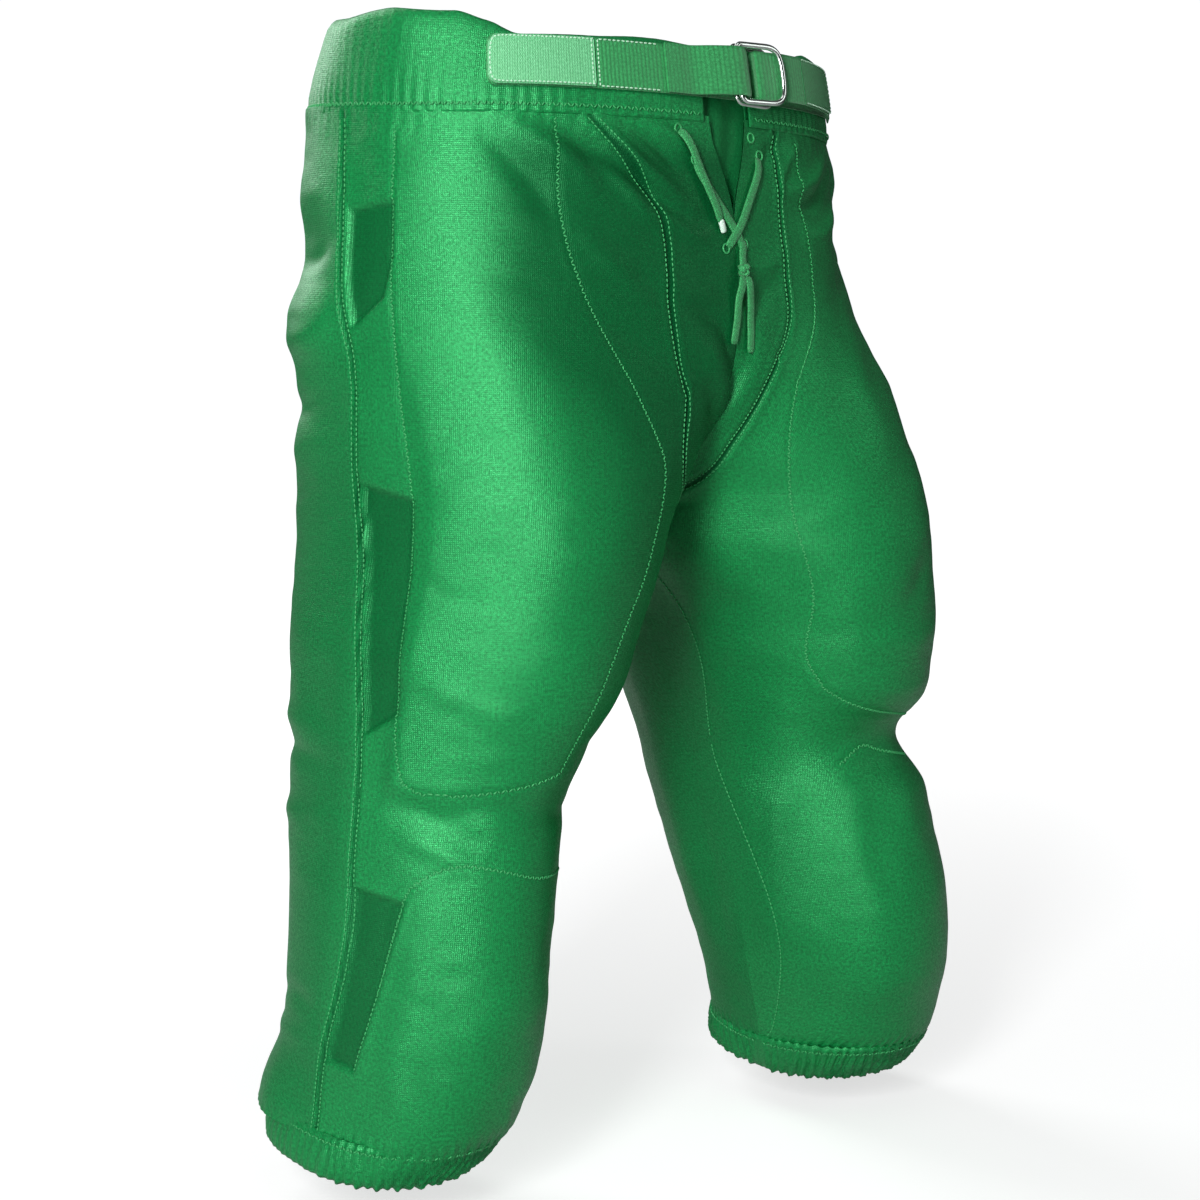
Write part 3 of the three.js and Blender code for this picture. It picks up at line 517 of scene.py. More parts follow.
def onCloth(side, u, depth, away=0.0):
    # a place on the finished cloth
    high, tone = relief(side, u, depth)
    p = offSkin(side, u, depth, high + away)
    edge = (np.asarray(u) < 1e-6) | (np.asarray(u) > 1 - 1e-6)
    if np.any(edge):
        p[..., 0] = np.where(edge & (np.asarray(depth) < crotchAt), 0, p[..., 0])
    return p


def onFly(x, depth, away):
    return acrossMiddle(x, depth, away, place=onCloth)


# The camera
look = {"azimuth": -46, "elevation": 6.1, "distance": 1.45, "target": (0, 0, -0.335), "lens": 69,
        "shift": (0.0083, -0.0033)}
cameraData = bpy.data.cameras.new("camera")
camera = bpy.data.objects.new("camera", cameraData)
bpy.context.scene.collection.objects.link(camera)
turned, raised = math.radians(look["azimuth"]), math.radians(look["elevation"])
outDirection = Vector((math.sin(turned) * math.cos(raised), -math.cos(turned) * math.cos(raised),
                       math.sin(raised)))
camera.location = Vector(look["target"]) + outDirection * look["distance"]
camera.rotation_euler = (-outDirection).to_track_quat("-Z", "Y").to_euler()
cameraData.lens = look["lens"]
cameraData.sensor_width = 36
cameraData.shift_x, cameraData.shift_y = look["shift"]
bpy.context.scene.camera = camera
print("camera set", round(time.time() - started, 1))


def newGroup(name, inputs, outputs):
    group = bpy.data.node_groups.new(name, "ShaderNodeTree")
    for label, kind, value in inputs:
        socket = group.interface.new_socket(name=label, in_out="INPUT", socket_type=kind)
        if value is not None:
            socket.default_value = value
    for label, kind in outputs:
        group.interface.new_socket(name=label, in_out="OUTPUT", socket_type=kind)
    return group, group.nodes.new("NodeGroupInput"), group.nodes.new("NodeGroupOutput")


def mathNode(tree, operation, a, b=None):
    node = tree.nodes.new("ShaderNodeMath")
    node.operation = operation
    for socket, value in zip(node.inputs, (a, b)):
        if value is None:
            continue
        if isinstance(value, (int, float)):
            socket.default_value = value
        else:
            tree.links.new(value, socket)
    return node.outputs[0]


def mixColor(tree, factor, a, b):
    node = tree.nodes.new("ShaderNodeMix")
    node.data_type = "RGBA"
    for index, value in ((0, factor), (6, a), (7, b)):
        if isinstance(value, (int, float, tuple)):
            node.inputs[index].default_value = value
        else:
            tree.links.new(value, node.inputs[index])
    return node.outputs[2]


def ranged(tree, value, low, high, toLow=0.0, toHigh=1.0):
    node = tree.nodes.new("ShaderNodeMapRange")
    tree.links.new(value, node.inputs[0])
    for index, number in ((1, low), (2, high), (3, toLow), (4, toHigh)):
        node.inputs[index].default_value = number
    return node.outputs[0]


def noiseNode(tree, vector, scale, detail=2.0, rough=0.5):
    node = tree.nodes.new("ShaderNodeTexNoise")
    tree.links.new(vector, node.inputs["Vector"])
    node.inputs["Scale"].default_value = scale
    node.inputs["Detail"].default_value = detail
    node.inputs["Roughness"].default_value = rough
    return node.outputs["Fac"]


# Knit: loops in columns with a fine sparkle, as a height and a mask
def knitGroup():
    group, inside, out = newGroup("knitLoops", [("Vector", "NodeSocketVector", None),
                                                ("Loops", "NodeSocketFloat", 900.0),
                                                ("Grain", "NodeSocketFloat", 560.0)],
                                  [("Height", "NodeSocketFloat"), ("Sparkle", "NodeSocketFloat"),
                                   ("Wear", "NodeSocketFloat")])
    split = group.nodes.new("ShaderNodeSeparateXYZ")
    group.links.new(inside.outputs["Vector"], split.inputs[0])
    across = mathNode(group, "MULTIPLY", split.outputs[0], inside.outputs["Loops"])
    down = mathNode(group, "MULTIPLY", split.outputs[1], inside.outputs["Loops"])
    ripple = mathNode(group, "SINE", mathNode(group, "MULTIPLY", across, 3.1416))
    wales = mathNode(group, "ABSOLUTE", ripple)
    slant = mathNode(group, "ADD", mathNode(group, "MULTIPLY", down, 6.2832),
                     mathNode(group, "MULTIPLY", wales, 2.2))
    loops = mathNode(group, "MULTIPLY", mathNode(group, "ADD", mathNode(group, "SINE", slant), 1.0), 0.5)
    height = mathNode(group, "ADD", mathNode(group, "MULTIPLY", wales, 0.55),
                      mathNode(group, "MULTIPLY", loops, 0.45))
    group.links.new(height, out.inputs["Height"])
    grain = group.nodes.new("ShaderNodeTexNoise")
    group.links.new(inside.outputs["Vector"], grain.inputs["Vector"])
    group.links.new(inside.outputs["Grain"], grain.inputs["Scale"])
    grain.inputs["Detail"].default_value = 3
    grain.inputs["Roughness"].default_value = 0.75
    group.links.new(ranged(group, grain.outputs["Fac"], 0.36, 0.64), out.inputs["Sparkle"])
    wear = noiseNode(group, inside.outputs["Vector"], 26, 3, 0.55)
    group.links.new(ranged(group, wear, 0.3, 0.7), out.inputs["Wear"])
    return group


# Woven tape: ribs across the tape and a fine weave
def tapeGroup():
    group, inside, out = newGroup("wovenTape", [("Vector", "NodeSocketVector", None),
                                                ("Threads", "NodeSocketFloat", 900.0)],
                                  [("Height", "NodeSocketFloat"), ("Sparkle", "NodeSocketFloat")])
    split = group.nodes.new("ShaderNodeSeparateXYZ")
    group.links.new(inside.outputs["Vector"], split.inputs[0])
    warp = mathNode(group, "SINE", mathNode(group, "MULTIPLY", split.outputs[0],
                                            mathNode(group, "MULTIPLY", inside.outputs["Threads"], 6.2832)))
    weft = mathNode(group, "SINE", mathNode(group, "MULTIPLY", split.outputs[1],
                                            mathNode(group, "MULTIPLY", inside.outputs["Threads"], 5.1)))
    both = mathNode(group, "MULTIPLY", warp, weft)
    group.links.new(mathNode(group, "MULTIPLY", mathNode(group, "ADD", both, 1.0), 0.5),
                    out.inputs["Height"])
    grain = noiseNode(group, inside.outputs["Vector"], 700, 3, 0.7)
    group.links.new(ranged(group, grain, 0.35, 0.65), out.inputs["Sparkle"])
    return group


knit = knitGroup()
tape = tapeGroup()


def shaderOf(name):
    material = bpy.data.materials.new(name)
    material.use_nodes = True
    tree = material.node_tree
    return material, tree, tree.nodes["Principled BSDF"]


def cloth(name, light, dark, shade, rough=(0.38, 0.55), sheen=0.06, specular=0.5, bump=0.35, loops=900.0,
          index=1.5):
    # satin knit: light and dark are the yarn's two tones, shade is the colour of the painted shade where the
    # cloth sinks or is sewn and in the painted shade patches
    material, tree, shader = shaderOf(name)
    uv = tree.nodes.new("ShaderNodeUVMap")
    uv.uv_map = "weave"
    group = tree.nodes.new("ShaderNodeGroup")
    group.node_tree = knit
    tree.links.new(uv.outputs[0], group.inputs["Vector"])
    group.inputs["Loops"].default_value = loops
    tone = tree.nodes.new("ShaderNodeAttribute")
    tone.attribute_name = "tone"
    yarn = mixColor(tree, group.outputs["Sparkle"], dark, light)
    worn = mixColor(tree, mathNode(tree, "MULTIPLY", group.outputs["Wear"], 0.22), yarn, dark)
    # the tone attribute mixes in the shade colour: painted shade
    final = mixColor(tree, tone.outputs["Fac"], shade, worn)
    tree.links.new(final, shader.inputs["Base Color"])
    tree.links.new(ranged(tree, group.outputs["Sparkle"], 0, 1, rough[1], rough[0]),
                   shader.inputs["Roughness"])
    shader.inputs["Sheen Weight"].default_value = sheen
    shader.inputs["Sheen Roughness"].default_value = 0.4
    shader.inputs["Sheen Tint"].default_value = (light[0] * 1.5 + 0.1, min(light[1] * 1.5 + 0.1, 1),
                                                 light[2] * 1.5 + 0.1, 1)
    shader.inputs["IOR"].default_value = index
    # the painted shade also lowers the specular level, so shaded places reflect less
    tree.links.new(ranged(tree, tone.outputs["Fac"], 0, 1, specular * 0.2, specular),
                   shader.inputs["Specular IOR Level"])
    shader.inputs["Specular Tint"].default_value = (0.20, 1.0, 0.40, 1)
    node = tree.nodes.new("ShaderNodeBump")
    node.inputs["Strength"].default_value = bump
    node.inputs["Distance"].default_value = 0.0003
    total = mathNode(tree, "ADD", group.outputs["Height"],
                     mathNode(tree, "MULTIPLY", group.outputs["Sparkle"], 0.6))
    tree.links.new(total, node.inputs["Height"])
    tree.links.new(node.outputs[0], shader.inputs["Normal"])
    return material


def tapeMaterial(name, light, dark, rough=0.5, bump=0.4, threads=700.0):
    material, tree, shader = shaderOf(name)
    uv = tree.nodes.new("ShaderNodeUVMap")
    uv.uv_map = "weave"
    group = tree.nodes.new("ShaderNodeGroup")
    group.node_tree = tape
    tree.links.new(uv.outputs[0], group.inputs["Vector"])
    group.inputs["Threads"].default_value = threads
    tone = tree.nodes.new("ShaderNodeAttribute")
    tone.attribute_name = "tone"
    yarn = mixColor(tree, group.outputs["Sparkle"], dark, light)
    # the tone attribute mixes in a darker copy of the dark yarn: painted shade, set by the straps between
    # their ribs
    final = mixColor(tree, tone.outputs["Fac"], (dark[0] * 0.4, dark[1] * 0.45, dark[2] * 0.4, 1), yarn)
    tree.links.new(final, shader.inputs["Base Color"])
    shader.inputs["Roughness"].default_value = rough
    shader.inputs["Sheen Weight"].default_value = 0.15
    node = tree.nodes.new("ShaderNodeBump")
    node.inputs["Strength"].default_value = bump
    node.inputs["Distance"].default_value = 0.0004
    tree.links.new(group.outputs["Height"], node.inputs["Height"])
    tree.links.new(node.outputs[0], shader.inputs["Normal"])
    return material


def plainGrain(name, light, dark, rough, scale, bump=0.2, metallic=0.0, roughSpread=0.08):
    # foam, metal, thread and plastic, on Object coordinates
    material, tree, shader = shaderOf(name)
    coords = tree.nodes.new("ShaderNodeTexCoord")
    fine = noiseNode(tree, coords.outputs["Object"], scale, 4, 0.6)
    tree.links.new(mixColor(tree, ranged(tree, fine, 0.35, 0.65), dark, light), shader.inputs["Base Color"])
    tree.links.new(ranged(tree, fine, 0.3, 0.7, rough - roughSpread, rough + roughSpread),
                   shader.inputs["Roughness"])
    shader.inputs["Metallic"].default_value = metallic
    node = tree.nodes.new("ShaderNodeBump")
    node.inputs["Strength"].default_value = bump
    node.inputs["Distance"].default_value = 0.0003
    tree.links.new(fine, node.inputs["Height"])
    tree.links.new(node.outputs[0], shader.inputs["Normal"])
    return material


# shade is the painted-shade green of the satin knit; the lining and the cuff elastic also use it as their
# darker yarn tone
greens = {
    "light": (0.008, 0.285, 0.070, 1), "dark": (0.0024, 0.102, 0.026, 1), "shade": (0.001, 0.052, 0.014, 1),
    "inside": (0.008, 0.17, 0.045, 1), "tape": (0.040, 0.40, 0.12, 1), "tapeDark": (0.014, 0.21, 0.055, 1),
    "pale": (0.19, 0.62, 0.30, 1), "paleDark": (0.09, 0.42, 0.17, 1), "thread": (0.05, 0.44, 0.14, 1),
    "threadDark": (0.02, 0.24, 0.07, 1), "white": (0.72, 0.86, 0.76, 1),
}
satinKnit = cloth("satinKnit", greens["light"], greens["dark"], greens["shade"], rough=(0.29, 0.5),
                  specular=0.6, bump=0.5, index=1.85)
darkKnit = cloth("darkKnit", (0.008, 0.17, 0.045, 1), (0.005, 0.11, 0.03, 1), greens["shade"], sheen=0.1,
                 specular=0.3)
meshLining = cloth("meshLining", greens["inside"], greens["shade"], greens["shade"], rough=(0.7, 0.85),
                   loops=420.0, bump=0.8, specular=0.2)
webbing = tapeMaterial("webbing", greens["tape"], greens["tapeDark"])
paleWebbing = tapeMaterial("paleWebbing", greens["pale"], greens["paleDark"])
laceBraid = tapeMaterial("laceBraid", (0.035, 0.38, 0.11, 1), (0.012, 0.20, 0.055, 1), bump=0.7,
                         threads=620.0)
elasticTape = tapeMaterial("elasticTape", greens["inside"], greens["shade"], rough=0.7, threads=420.0)
sewingThread = plainGrain("sewingThread", greens["thread"], greens["threadDark"], 0.5, 2400, 0.4)
paleThread = plainGrain("paleThread", greens["white"], greens["pale"], 0.5, 2400, 0.4)
brightWire = plainGrain("brightWire", (0.86, 0.92, 0.88, 1), (0.70, 0.80, 0.74, 1), 0.14, 300, 0.03, 1.0,
                        0.05)
openFoam = plainGrain("openFoam", (0.80, 0.82, 0.79, 1), (0.58, 0.61, 0.58, 1), 0.9, 900, 0.8)
whiteTip = plainGrain("whiteTip", (0.75, 0.90, 0.80, 1), (0.55, 0.78, 0.62, 1), 0.35, 500, 0.1)
print("materials made", round(time.time() - started, 1))


def setUv(obj, uv):
    layer = obj.data.uv_layers.new(name="weave")
    index = np.zeros(len(obj.data.loops), np.int32)
    obj.data.loops.foreach_get("vertex_index", index)
    layer.data.foreach_set("uv", np.asarray(uv, np.float32)[index].ravel())


def setTone(obj, tone):
    attribute = obj.data.attributes.new("tone", "FLOAT", "POINT")
    attribute.data.foreach_set("value", np.asarray(tone, np.float32).ravel())


def shell(name, outer, inner, material, uv=None, tone=None, closedRound=False):
    # a closed sheet between two grids of points; its cut edges are flat so that its faces shade smoothly
    rows, cols = outer.shape[:2]
    count = rows * cols
    points = np.concatenate([outer.reshape(-1, 3), inner.reshape(-1, 3)])
    a, b = rows // 2, cols // 2
    face = np.cross(outer[a, b + 1] - outer[a, b], outer[a + 1, b] - outer[a, b])
    flip = float(face @ (outer[a, b] - inner[a, b])) < 0
    faces = gridFaces(rows, cols, 0, flip, closedRound) + gridFaces(rows, cols, count, not flip,
                                                                    closedRound)
    smoothFaces = len(faces)
    ring = []
    if not closedRound:
        ring += [(i * cols, (i + 1) * cols) for i in range(rows - 1)]
        ring += [((i + 1) * cols + cols - 1, i * cols + cols - 1) for i in range(rows - 1)]
    span = cols if closedRound else cols - 1
    ring += [((j + 1) % cols, j) for j in range(span)]
    ring += [((rows - 1) * cols + j, (rows - 1) * cols + (j + 1) % cols) for j in range(span)]
    for a, b in ring:
        faces.append((a, b, b + count, a + count) if flip else (b, a, a + count, b + count))
    obj = newMesh(name, points, faces, material)
    for polygon in obj.data.polygons[smoothFaces:]:
        polygon.use_smooth = False
    if uv is not None:
        setUv(obj, np.concatenate([uv.reshape(-1, 2)] * 2) * mm)
    setTone(obj, np.ones(2 * count) if tone is None else np.concatenate([tone.ravel()] * 2))
    return obj


def tubeAlong(name, path, normals, wide, thick, material, around=10, taper=0.0):
    # a flat or round cord along a path in millimetres, lying flat against the normals
    path = np.asarray(path, float)
    normals = np.asarray(normals, float)
    tangent = np.gradient(path, axis=0)
    tangent /= np.linalg.norm(tangent, axis=1, keepdims=True)
    across = np.cross(tangent, normals)
    across /= np.linalg.norm(across, axis=1, keepdims=True)
    upward = np.cross(across, tangent)
    angle = np.linspace(0, 2 * np.pi, around, endpoint=False) + np.pi / around
    power = 0.75
    ca = np.sign(np.cos(angle)) * np.abs(np.cos(angle)) ** power
    sa = np.sign(np.sin(angle)) * np.abs(np.sin(angle)) ** power
    count = len(path)
    full = np.ones(count)
    if taper:
        at = np.linspace(0, 1, count)
        full = 1 - taper * (1 - smooth(0, 0.05, at)) - taper * smooth(0.95, 1, at)
    ring = (path[:, None] + across[:, None] * (ca * wide / 2)[None, :, None] * full[:, None, None]
            + upward[:, None] * (sa * thick / 2)[None, :, None] * full[:, None, None])
    points = np.concatenate([ring.reshape(-1, 3), path[:1], path[-1:]])
    faces = gridFaces(count, around, wrapCols=True)
    for j in range(around):
        faces.append((count * around, (j + 1) % around, j))
        faces.append((count * around + 1, (count - 1) * around + j,
                      (count - 1) * around + (j + 1) % around))
    obj = newMesh(name, points, faces, material)
    length = np.concatenate([[0], np.cumsum(np.linalg.norm(np.diff(path, axis=0), axis=1))])
    u = np.broadcast_to(length[:, None], (count, around))
    v = np.broadcast_to((ca * wide / 2)[None, :], (count, around))
    setUv(obj, np.concatenate([np.stack([u, v], -1).reshape(-1, 2), [[0, 0], [length[-1], 0]]]) * mm)
    setTone(obj, np.ones(len(points)))
    work = bmesh.new()
    work.from_mesh(obj.data)
    bmesh.ops.recalc_face_normals(work, faces=work.faces)
    work.to_mesh(obj.data)
    work.free()
    return obj


# Laces: flat cord that crosses the fly, its knot and its free ends
lace = {"width": 6.0, "thick": 1.6, "away": 1.6, "knotAt": (1.6, 134.5)}


def lacePath(points, count):
    line = through(points, count)
    x, depth, away = line.T
    path = acrossMiddle(x, depth, away, place=onCloth)
    return path, acrossMiddle(x, depth, away + 5, place=onCloth) - path


lacesFree = {
    "laceUpperEnd": ([(-42, 56, 0.8), (-39, 60, 2.6), (-33, 71, 3.0), (-25, 86, 3.4), (-19, 97, 3.6),
                      (-14, 107, 2.8)],
                     "lace_upper_end", "fitting"),
    "laceEndRight": ([(0.2, 138, 4.2), (-1.6, 144, 4.4), (-3.0, 152, 2.6), (-3.8, 164, 1.8),
                      (-5.2, 177, 1.6)],
                     "lace_end_right", "bare"),
    "laceEndLeft": ([(3.4, 138, 4.2), (5.4, 144, 4.8), (8.2, 154, 3.0), (10.2, 167, 1.8), (9.6, 182, 1.6)],
                    "lace_end_left", "bare"),
}
lacePieces = {}
for name, (points, node, end) in lacesFree.items():
    path, normals = lacePath(points, 36)
    piece = tubeAlong(name, path, normals, lace["width"], lace["thick"], laceBraid, taper=0.35)
    lacePieces[name] = (piece, path, node, end)

tipPath, tipNormals = lacePath([(-14.4, 106, 2.8), (-13, 109, 2.6), (-11.4, 113, 2.0)], 10)
laceTip = tubeAlong("laceTip", tipPath, tipNormals, 4.2, 2.6, whiteTip, 12, taper=0.3)
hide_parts("lace_tip")
for name, (piece, path, node, end) in lacePieces.items():
    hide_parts(node)
    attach(piece, "seat")
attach(laceTip, "seat")


def fixedLace(name, points, node, count=30):
    path, normals = lacePath(points, count)
    piece = tubeAlong(name, path, normals, lace["width"], lace["thick"], laceBraid, taper=0.2)
    if node:
        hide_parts(node)
    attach(piece, "seat")


fixedLace("laceCross", [(28, 68, 0.2), (24, 76, 2.0), (14, 92, 2.2), (4, 108, 2.0), (-4, 117, 1.6),
                        (-7, 121, 0.3)],
          "lace_cross")
fixedLace("laceCrossUnder", [(-30, 74, 0.2), (-27, 80, 1.2), (-16, 94, 1.4), (-4, 107, 0.8), (3, 116, 1.0),
                             (6, 121, 0.2)],
          None)
fixedLace("laceLower", [(7, 117, 0.4), (5, 121, 1.6), (3, 127, 2.4), (1.6, 133, 3.6)], "lace_lower", 16)
knotCenter = onFly(*lace["knotAt"], 4.2)
knotLoops = []
turns = np.linspace(0, 2 * np.pi, 60, endpoint=False)
frontNormal = normalOf("left", np.array(0.01), np.array(134.0))
sideways = np.array([1.0, 0, 0])
upAxis = np.cross(frontNormal, sideways)
for x, y, z in zip(np.sin(turns) + 2 * np.sin(2 * turns), np.cos(turns) - 2 * np.cos(2 * turns),
                   -np.sin(3 * turns)):
    knotLoops.append(knotCenter + (sideways * x * 1.25 + upAxis * y * 1.0 + frontNormal * z * 1.3))
knotLoops.append(knotLoops[0])
knotLoops = np.array(knotLoops)
knotOut = knotLoops - knotCenter + frontNormal * 2
knotPiece = tubeAlong("laceKnot", knotLoops, knotOut, 3.4, 2.0, laceBraid, 8)
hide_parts("lace_knot")
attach(knotPiece, "seat")


# Eyelets: rings of whipped thread where the laces pass through the cloth
def eyelet(name, x, depth, radius=2.7, wire=1.3):
    center = acrossMiddle(x, depth, 0.35, place=onCloth)
    normal = acrossMiddle(x, depth, 5.35, place=onCloth) - center
    normal /= np.linalg.norm(normal)
    first = np.cross(normal, (0, 0, 1.0))
    first /= np.linalg.norm(first)
    second = np.cross(normal, first)
    ring = np.linspace(0, 2 * np.pi, 40, endpoint=False)
    beads = 1 + 0.16 * np.cos(ring * 20)
    points = []
    for turn, swell in zip(ring, beads):
        spoke = first * math.cos(turn) + second * math.sin(turn)
        for angle in np.linspace(0, 2 * np.pi, 8, endpoint=False):
            points.append(center + spoke * (radius + wire / 2 * swell * math.cos(angle))
                          + normal * (wire / 2.6 * swell * math.sin(angle)))
    piece = outward(newMesh(name, points, gridFaces(40, 8, wrapCols=True, wrapRows=True), sewingThread))
    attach(piece, "seat")


for number, (x, depth) in enumerate([(-42, 55), (29, 66), (-31, 72), (22, 56), (-8.5, 122), (8, 119)]):
    eyelet(f"eyelet_{number + 1}", x, depth)
print("laces made", round(time.time() - started, 1))


# The cloth: an upper and a lower panel in front and behind on each side
clothThick = 1.1
flyHalf, flyClosed = 16, 108
split = {"band": 46.0, "knee": 432.0, "hem": 648.0}


def flyEdge(depth):
    # half the opening of the fly at a depth, in millimetres
    return flyHalf * (1 - smooth(split["band"], flyClosed, depth))


def clothPanel(name, side, front, top, bottom, rows, cols):
    depths = np.linspace(top, bottom, rows)
    opening = flyEdge(depths)
    starts = np.where(opening < 0.05, 0, fractionAt(side, opening, depths)) if front else np.full(rows, 0.5)
    ends = np.full(rows, 0.5) if front else np.full(rows, 1.0)
    t = np.linspace(0, 1, cols)
    u = starts[:, None] + (ends - starts)[:, None] * t[None, :]
    depth = np.broadcast_to(depths[:, None], u.shape)
    # one more row above and below gives both panels the same shading where they meet
    step = depths[1] - depths[0]
    wider = np.vstack([depth[:1] - step, depth, depth[-1:] + step])
    widerU = np.vstack([u[:1], u, u[-1:]])
    high, tone = relief(side, widerU, wider)
    tone = tone[1:-1]
    outer = offSkin(side, widerU, wider, high)
    edge = ((widerU < 1e-6) | (widerU > 1 - 1e-6)) & (wider < crotchAt)
    outer[..., 0] = np.where(edge, 0, outer[..., 0])
    n = np.cross(np.gradient(outer, axis=1), np.gradient(outer, axis=0))[1:-1]
    n /= np.linalg.norm(n, axis=-1, keepdims=True)
    plain = normalOf(side, u, depth)
    n = np.where((n * plain).sum(-1, keepdims=True) < 0, -n, n)
    outer = outer[1:-1]
    inner = outer - plain * clothThick
    inner[..., 0] = np.where(edge[1:-1], 0, inner[..., 0])
    uv = np.stack([lookUp(arcTable[side], u, depth), depth], -1)
    obj = shell(name, outer, inner, satinKnit, uv, tone)
    obj.data.normals_split_custom_set_from_vertices([tuple(k) for k in np.vstack([n.reshape(-1, 3),
                                                                                  -n.reshape(-1, 3)])])
    return obj


for side in ("right", "left"):
    middleNodes = ["cup_panel", "crotch_gusset"] if side == "right" else []
    backNodes = ["seat_middle_panel"] if side == "right" else []
    piece = clothPanel(f"frontPanel_{side}", side, True, split["band"], split["knee"], 200, 150)
    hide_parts(f"front_panel_{side}", f"hip_crease_front_{side}", f"thigh_front_panel_{side}",
                f"fly_placket_{side}", *middleNodes)
    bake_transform(piece)
    piece = clothPanel(f"backPanel_{side}", side, False, split["band"], split["knee"], 200, 150)
    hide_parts(f"back_panel_{side}", f"hip_crease_back_{side}", f"thigh_back_panel_{side}",
                *backNodes)
    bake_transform(piece)
    piece = clothPanel(f"kneeFront_{side}", side, True, split["knee"], split["hem"], 112, 150)
    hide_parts(f"knee_front_panel_{side}", f"knee_crease_{side}")
    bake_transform(piece)
    piece = clothPanel(f"kneeBack_{side}", side, False, split["knee"], split["hem"], 112, 150)
    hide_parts(f"knee_back_panel_{side}", f"inseam_gore_{side}")
    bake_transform(piece)
print("cloth panels made", round(time.time() - started, 1))


# Bands: a folded profile of [distance from the cloth, depth] carried round a side
def band(name, side, us, profile, material, move=None, closed=False):
    us = np.asarray(us, float)
    profile = np.asarray(profile, float)
    u = np.broadcast_to(us[:, None], (len(us), len(profile)))
    away = np.broadcast_to(profile[None, :, 0], u.shape).copy()
    depth = np.broadcast_to(profile[None, :, 1], u.shape).copy()
    if move:
        away, depth = move(u, away, depth)
    points = offSkin(side, u, depth, away)
    count = len(profile)
    faces = gridFaces(len(us), count, wrapCols=True, wrapRows=closed)
    if not closed:
        faces.append(tuple(range(count)))
        faces.append(tuple(range((len(us) - 1) * count, len(us) * count))[::-1])
    obj = newMesh(name, points.reshape(-1, 3), faces, material)
    edge = np.concatenate([[0], np.cumsum(np.linalg.norm(np.diff(profile, axis=0), axis=1))])
    s = lookUp(arcTable[side], u, depth)
    setUv(obj, np.stack([s, np.broadcast_to(edge[None, :], u.shape)], -1).reshape(-1, 2) * mm)
    setTone(obj, np.ones(u.size))
    return outward(obj)


waist = {"bottom": 50.0, "tunnel": 9.2, "cloth": 1.2, "pucker": 0.3, "pitch": 7.5}
for side in ("right", "left"):
    outsidePath = [(-0.1, waist["bottom"]), (0.45, 48.5), (0.7, 45), (0.5, 40), (0.4, 30), (0.3, 20),
                   (0.2, 10), (-0.2, 4),
                   (-1.4, 1.0), (-3.4, -0.8), (-5.4, -0.8), (-7.4, 1.0), (-8.6, 4), (-9.0, 10), (-9.2, 30),
                   (-9.4, 47)]
    insidePath = [(-8.2, 47), (-8.0, 30), (-7.8, 10), (-7.4, 5), (-6.4, 2.2), (-4.8, 0.8), (-3.6, 1.0),
                  (-2.2, 2.4),
                  (-1.4, 5), (-1.0, 10), (-0.9, 20), (-0.8, 30), (-0.7, 42), (-0.9, waist["bottom"])]
    start = fractionAt(side, 20, 25)
    us = np.concatenate([np.linspace(start, start + 0.03, 14), np.linspace(start + 0.032, 1, 330)])

    def puckered(u, away, depth, side=side, start=start):
        close = smooth(start, start + 0.05, u)
        away = np.where(away < -0.5, -0.5 + (away + 0.5) * (0.35 + 0.65 * close), away)
        place = skin(side, u, depth)
        drift = 2.5 * softNoise(place, 30)
        wave = np.sin(lookUp(arcTable[side], u, depth) * 2 * np.pi / waist["pitch"] + drift)
        low = smooth(26, 46, depth)
        close = close * (1 - smooth(0.96, 1, u))
        away = away + waist["pucker"] * wave * (0.3 + 0.7 * low) * close
        away = away + 0.9 * softNoise(place * (1, 1, 0.4), 24) * close
        top = 1 - smooth(0, 24, depth)
        depth = depth + top * (1.8 * softNoise(place * (1, 1, 0.2), 46) - 1.0) * close
        if side == "right":
            dip = 5.5 * edged(0.33, 0.52, 0.03, 0.06, u)
            depth = depth + top * (6.5 * (1 - smooth(0.26, 0.31, u)) - dip)
        else:
            depth = depth + top * 5.0 * edged(-1, 0.16, 0.01, 0.03, u)
        groove = np.exp(-((depth - 45.5) / 1.6) ** 2) * (away > -1.5)
        return away - 0.6 * groove, depth

    piece = band(f"waistFold_{side}", side, us, outsidePath + insidePath, satinKnit, puckered)
    nodes = [f"waistband_{side}"] + (["waistband_lining"] if side == "right" else [])
    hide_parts(*nodes)
    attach(piece, "seat")
print("waistband made", round(time.time() - started, 1))

tongueRows, tongueCols = 60, 40
tongueDepth = np.linspace(12, 142, tongueRows)
x, depth = np.meshgrid(np.linspace(-33, 33, tongueCols), tongueDepth)
fold = 0.9 * np.sin(x * 0.24 + depth * 0.05) * np.exp(-(x / 30) ** 2) + 0.5 * np.sin(depth * 0.13)
grids = [acrossMiddle(x, depth, away + fold) for away in (-5.0, -6.2)]
uv = np.stack([x, depth], -1)
tongue = shell("flyTongue", grids[0], grids[1], darkKnit, uv)
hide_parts("fly_tongue")
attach(tongue, "seat")


# Belt: [distance round the waist, distance from the cloth], as in the CAD
belt = {"top": 8.0, "width": 28.0, "thick": 1.8, "wrap": 520.0, "slot": 0.31 * 520, "strapAway": 1.6,
        "underAway": 1.0,
        "barAt": 2.0, "play": 0.7, "wire": 3.6, "ringInside": 30.0, "ringReach": 40.0, "ringPlay": 3.0,
        "tailFrom": 40.8, "tailTo": 41.5, "tailLength": 62.0}
belt["barAway"] = belt["strapAway"] + belt["thick"] + belt["play"] + belt["wire"] / 2
belt["barStep"] = belt["wire"] + 0.5
belt["over"] = belt["barAway"] + belt["wire"] / 2 + belt["ringPlay"] + belt["thick"] + 0.4
belt["turn"] = belt["barAt"] + 12


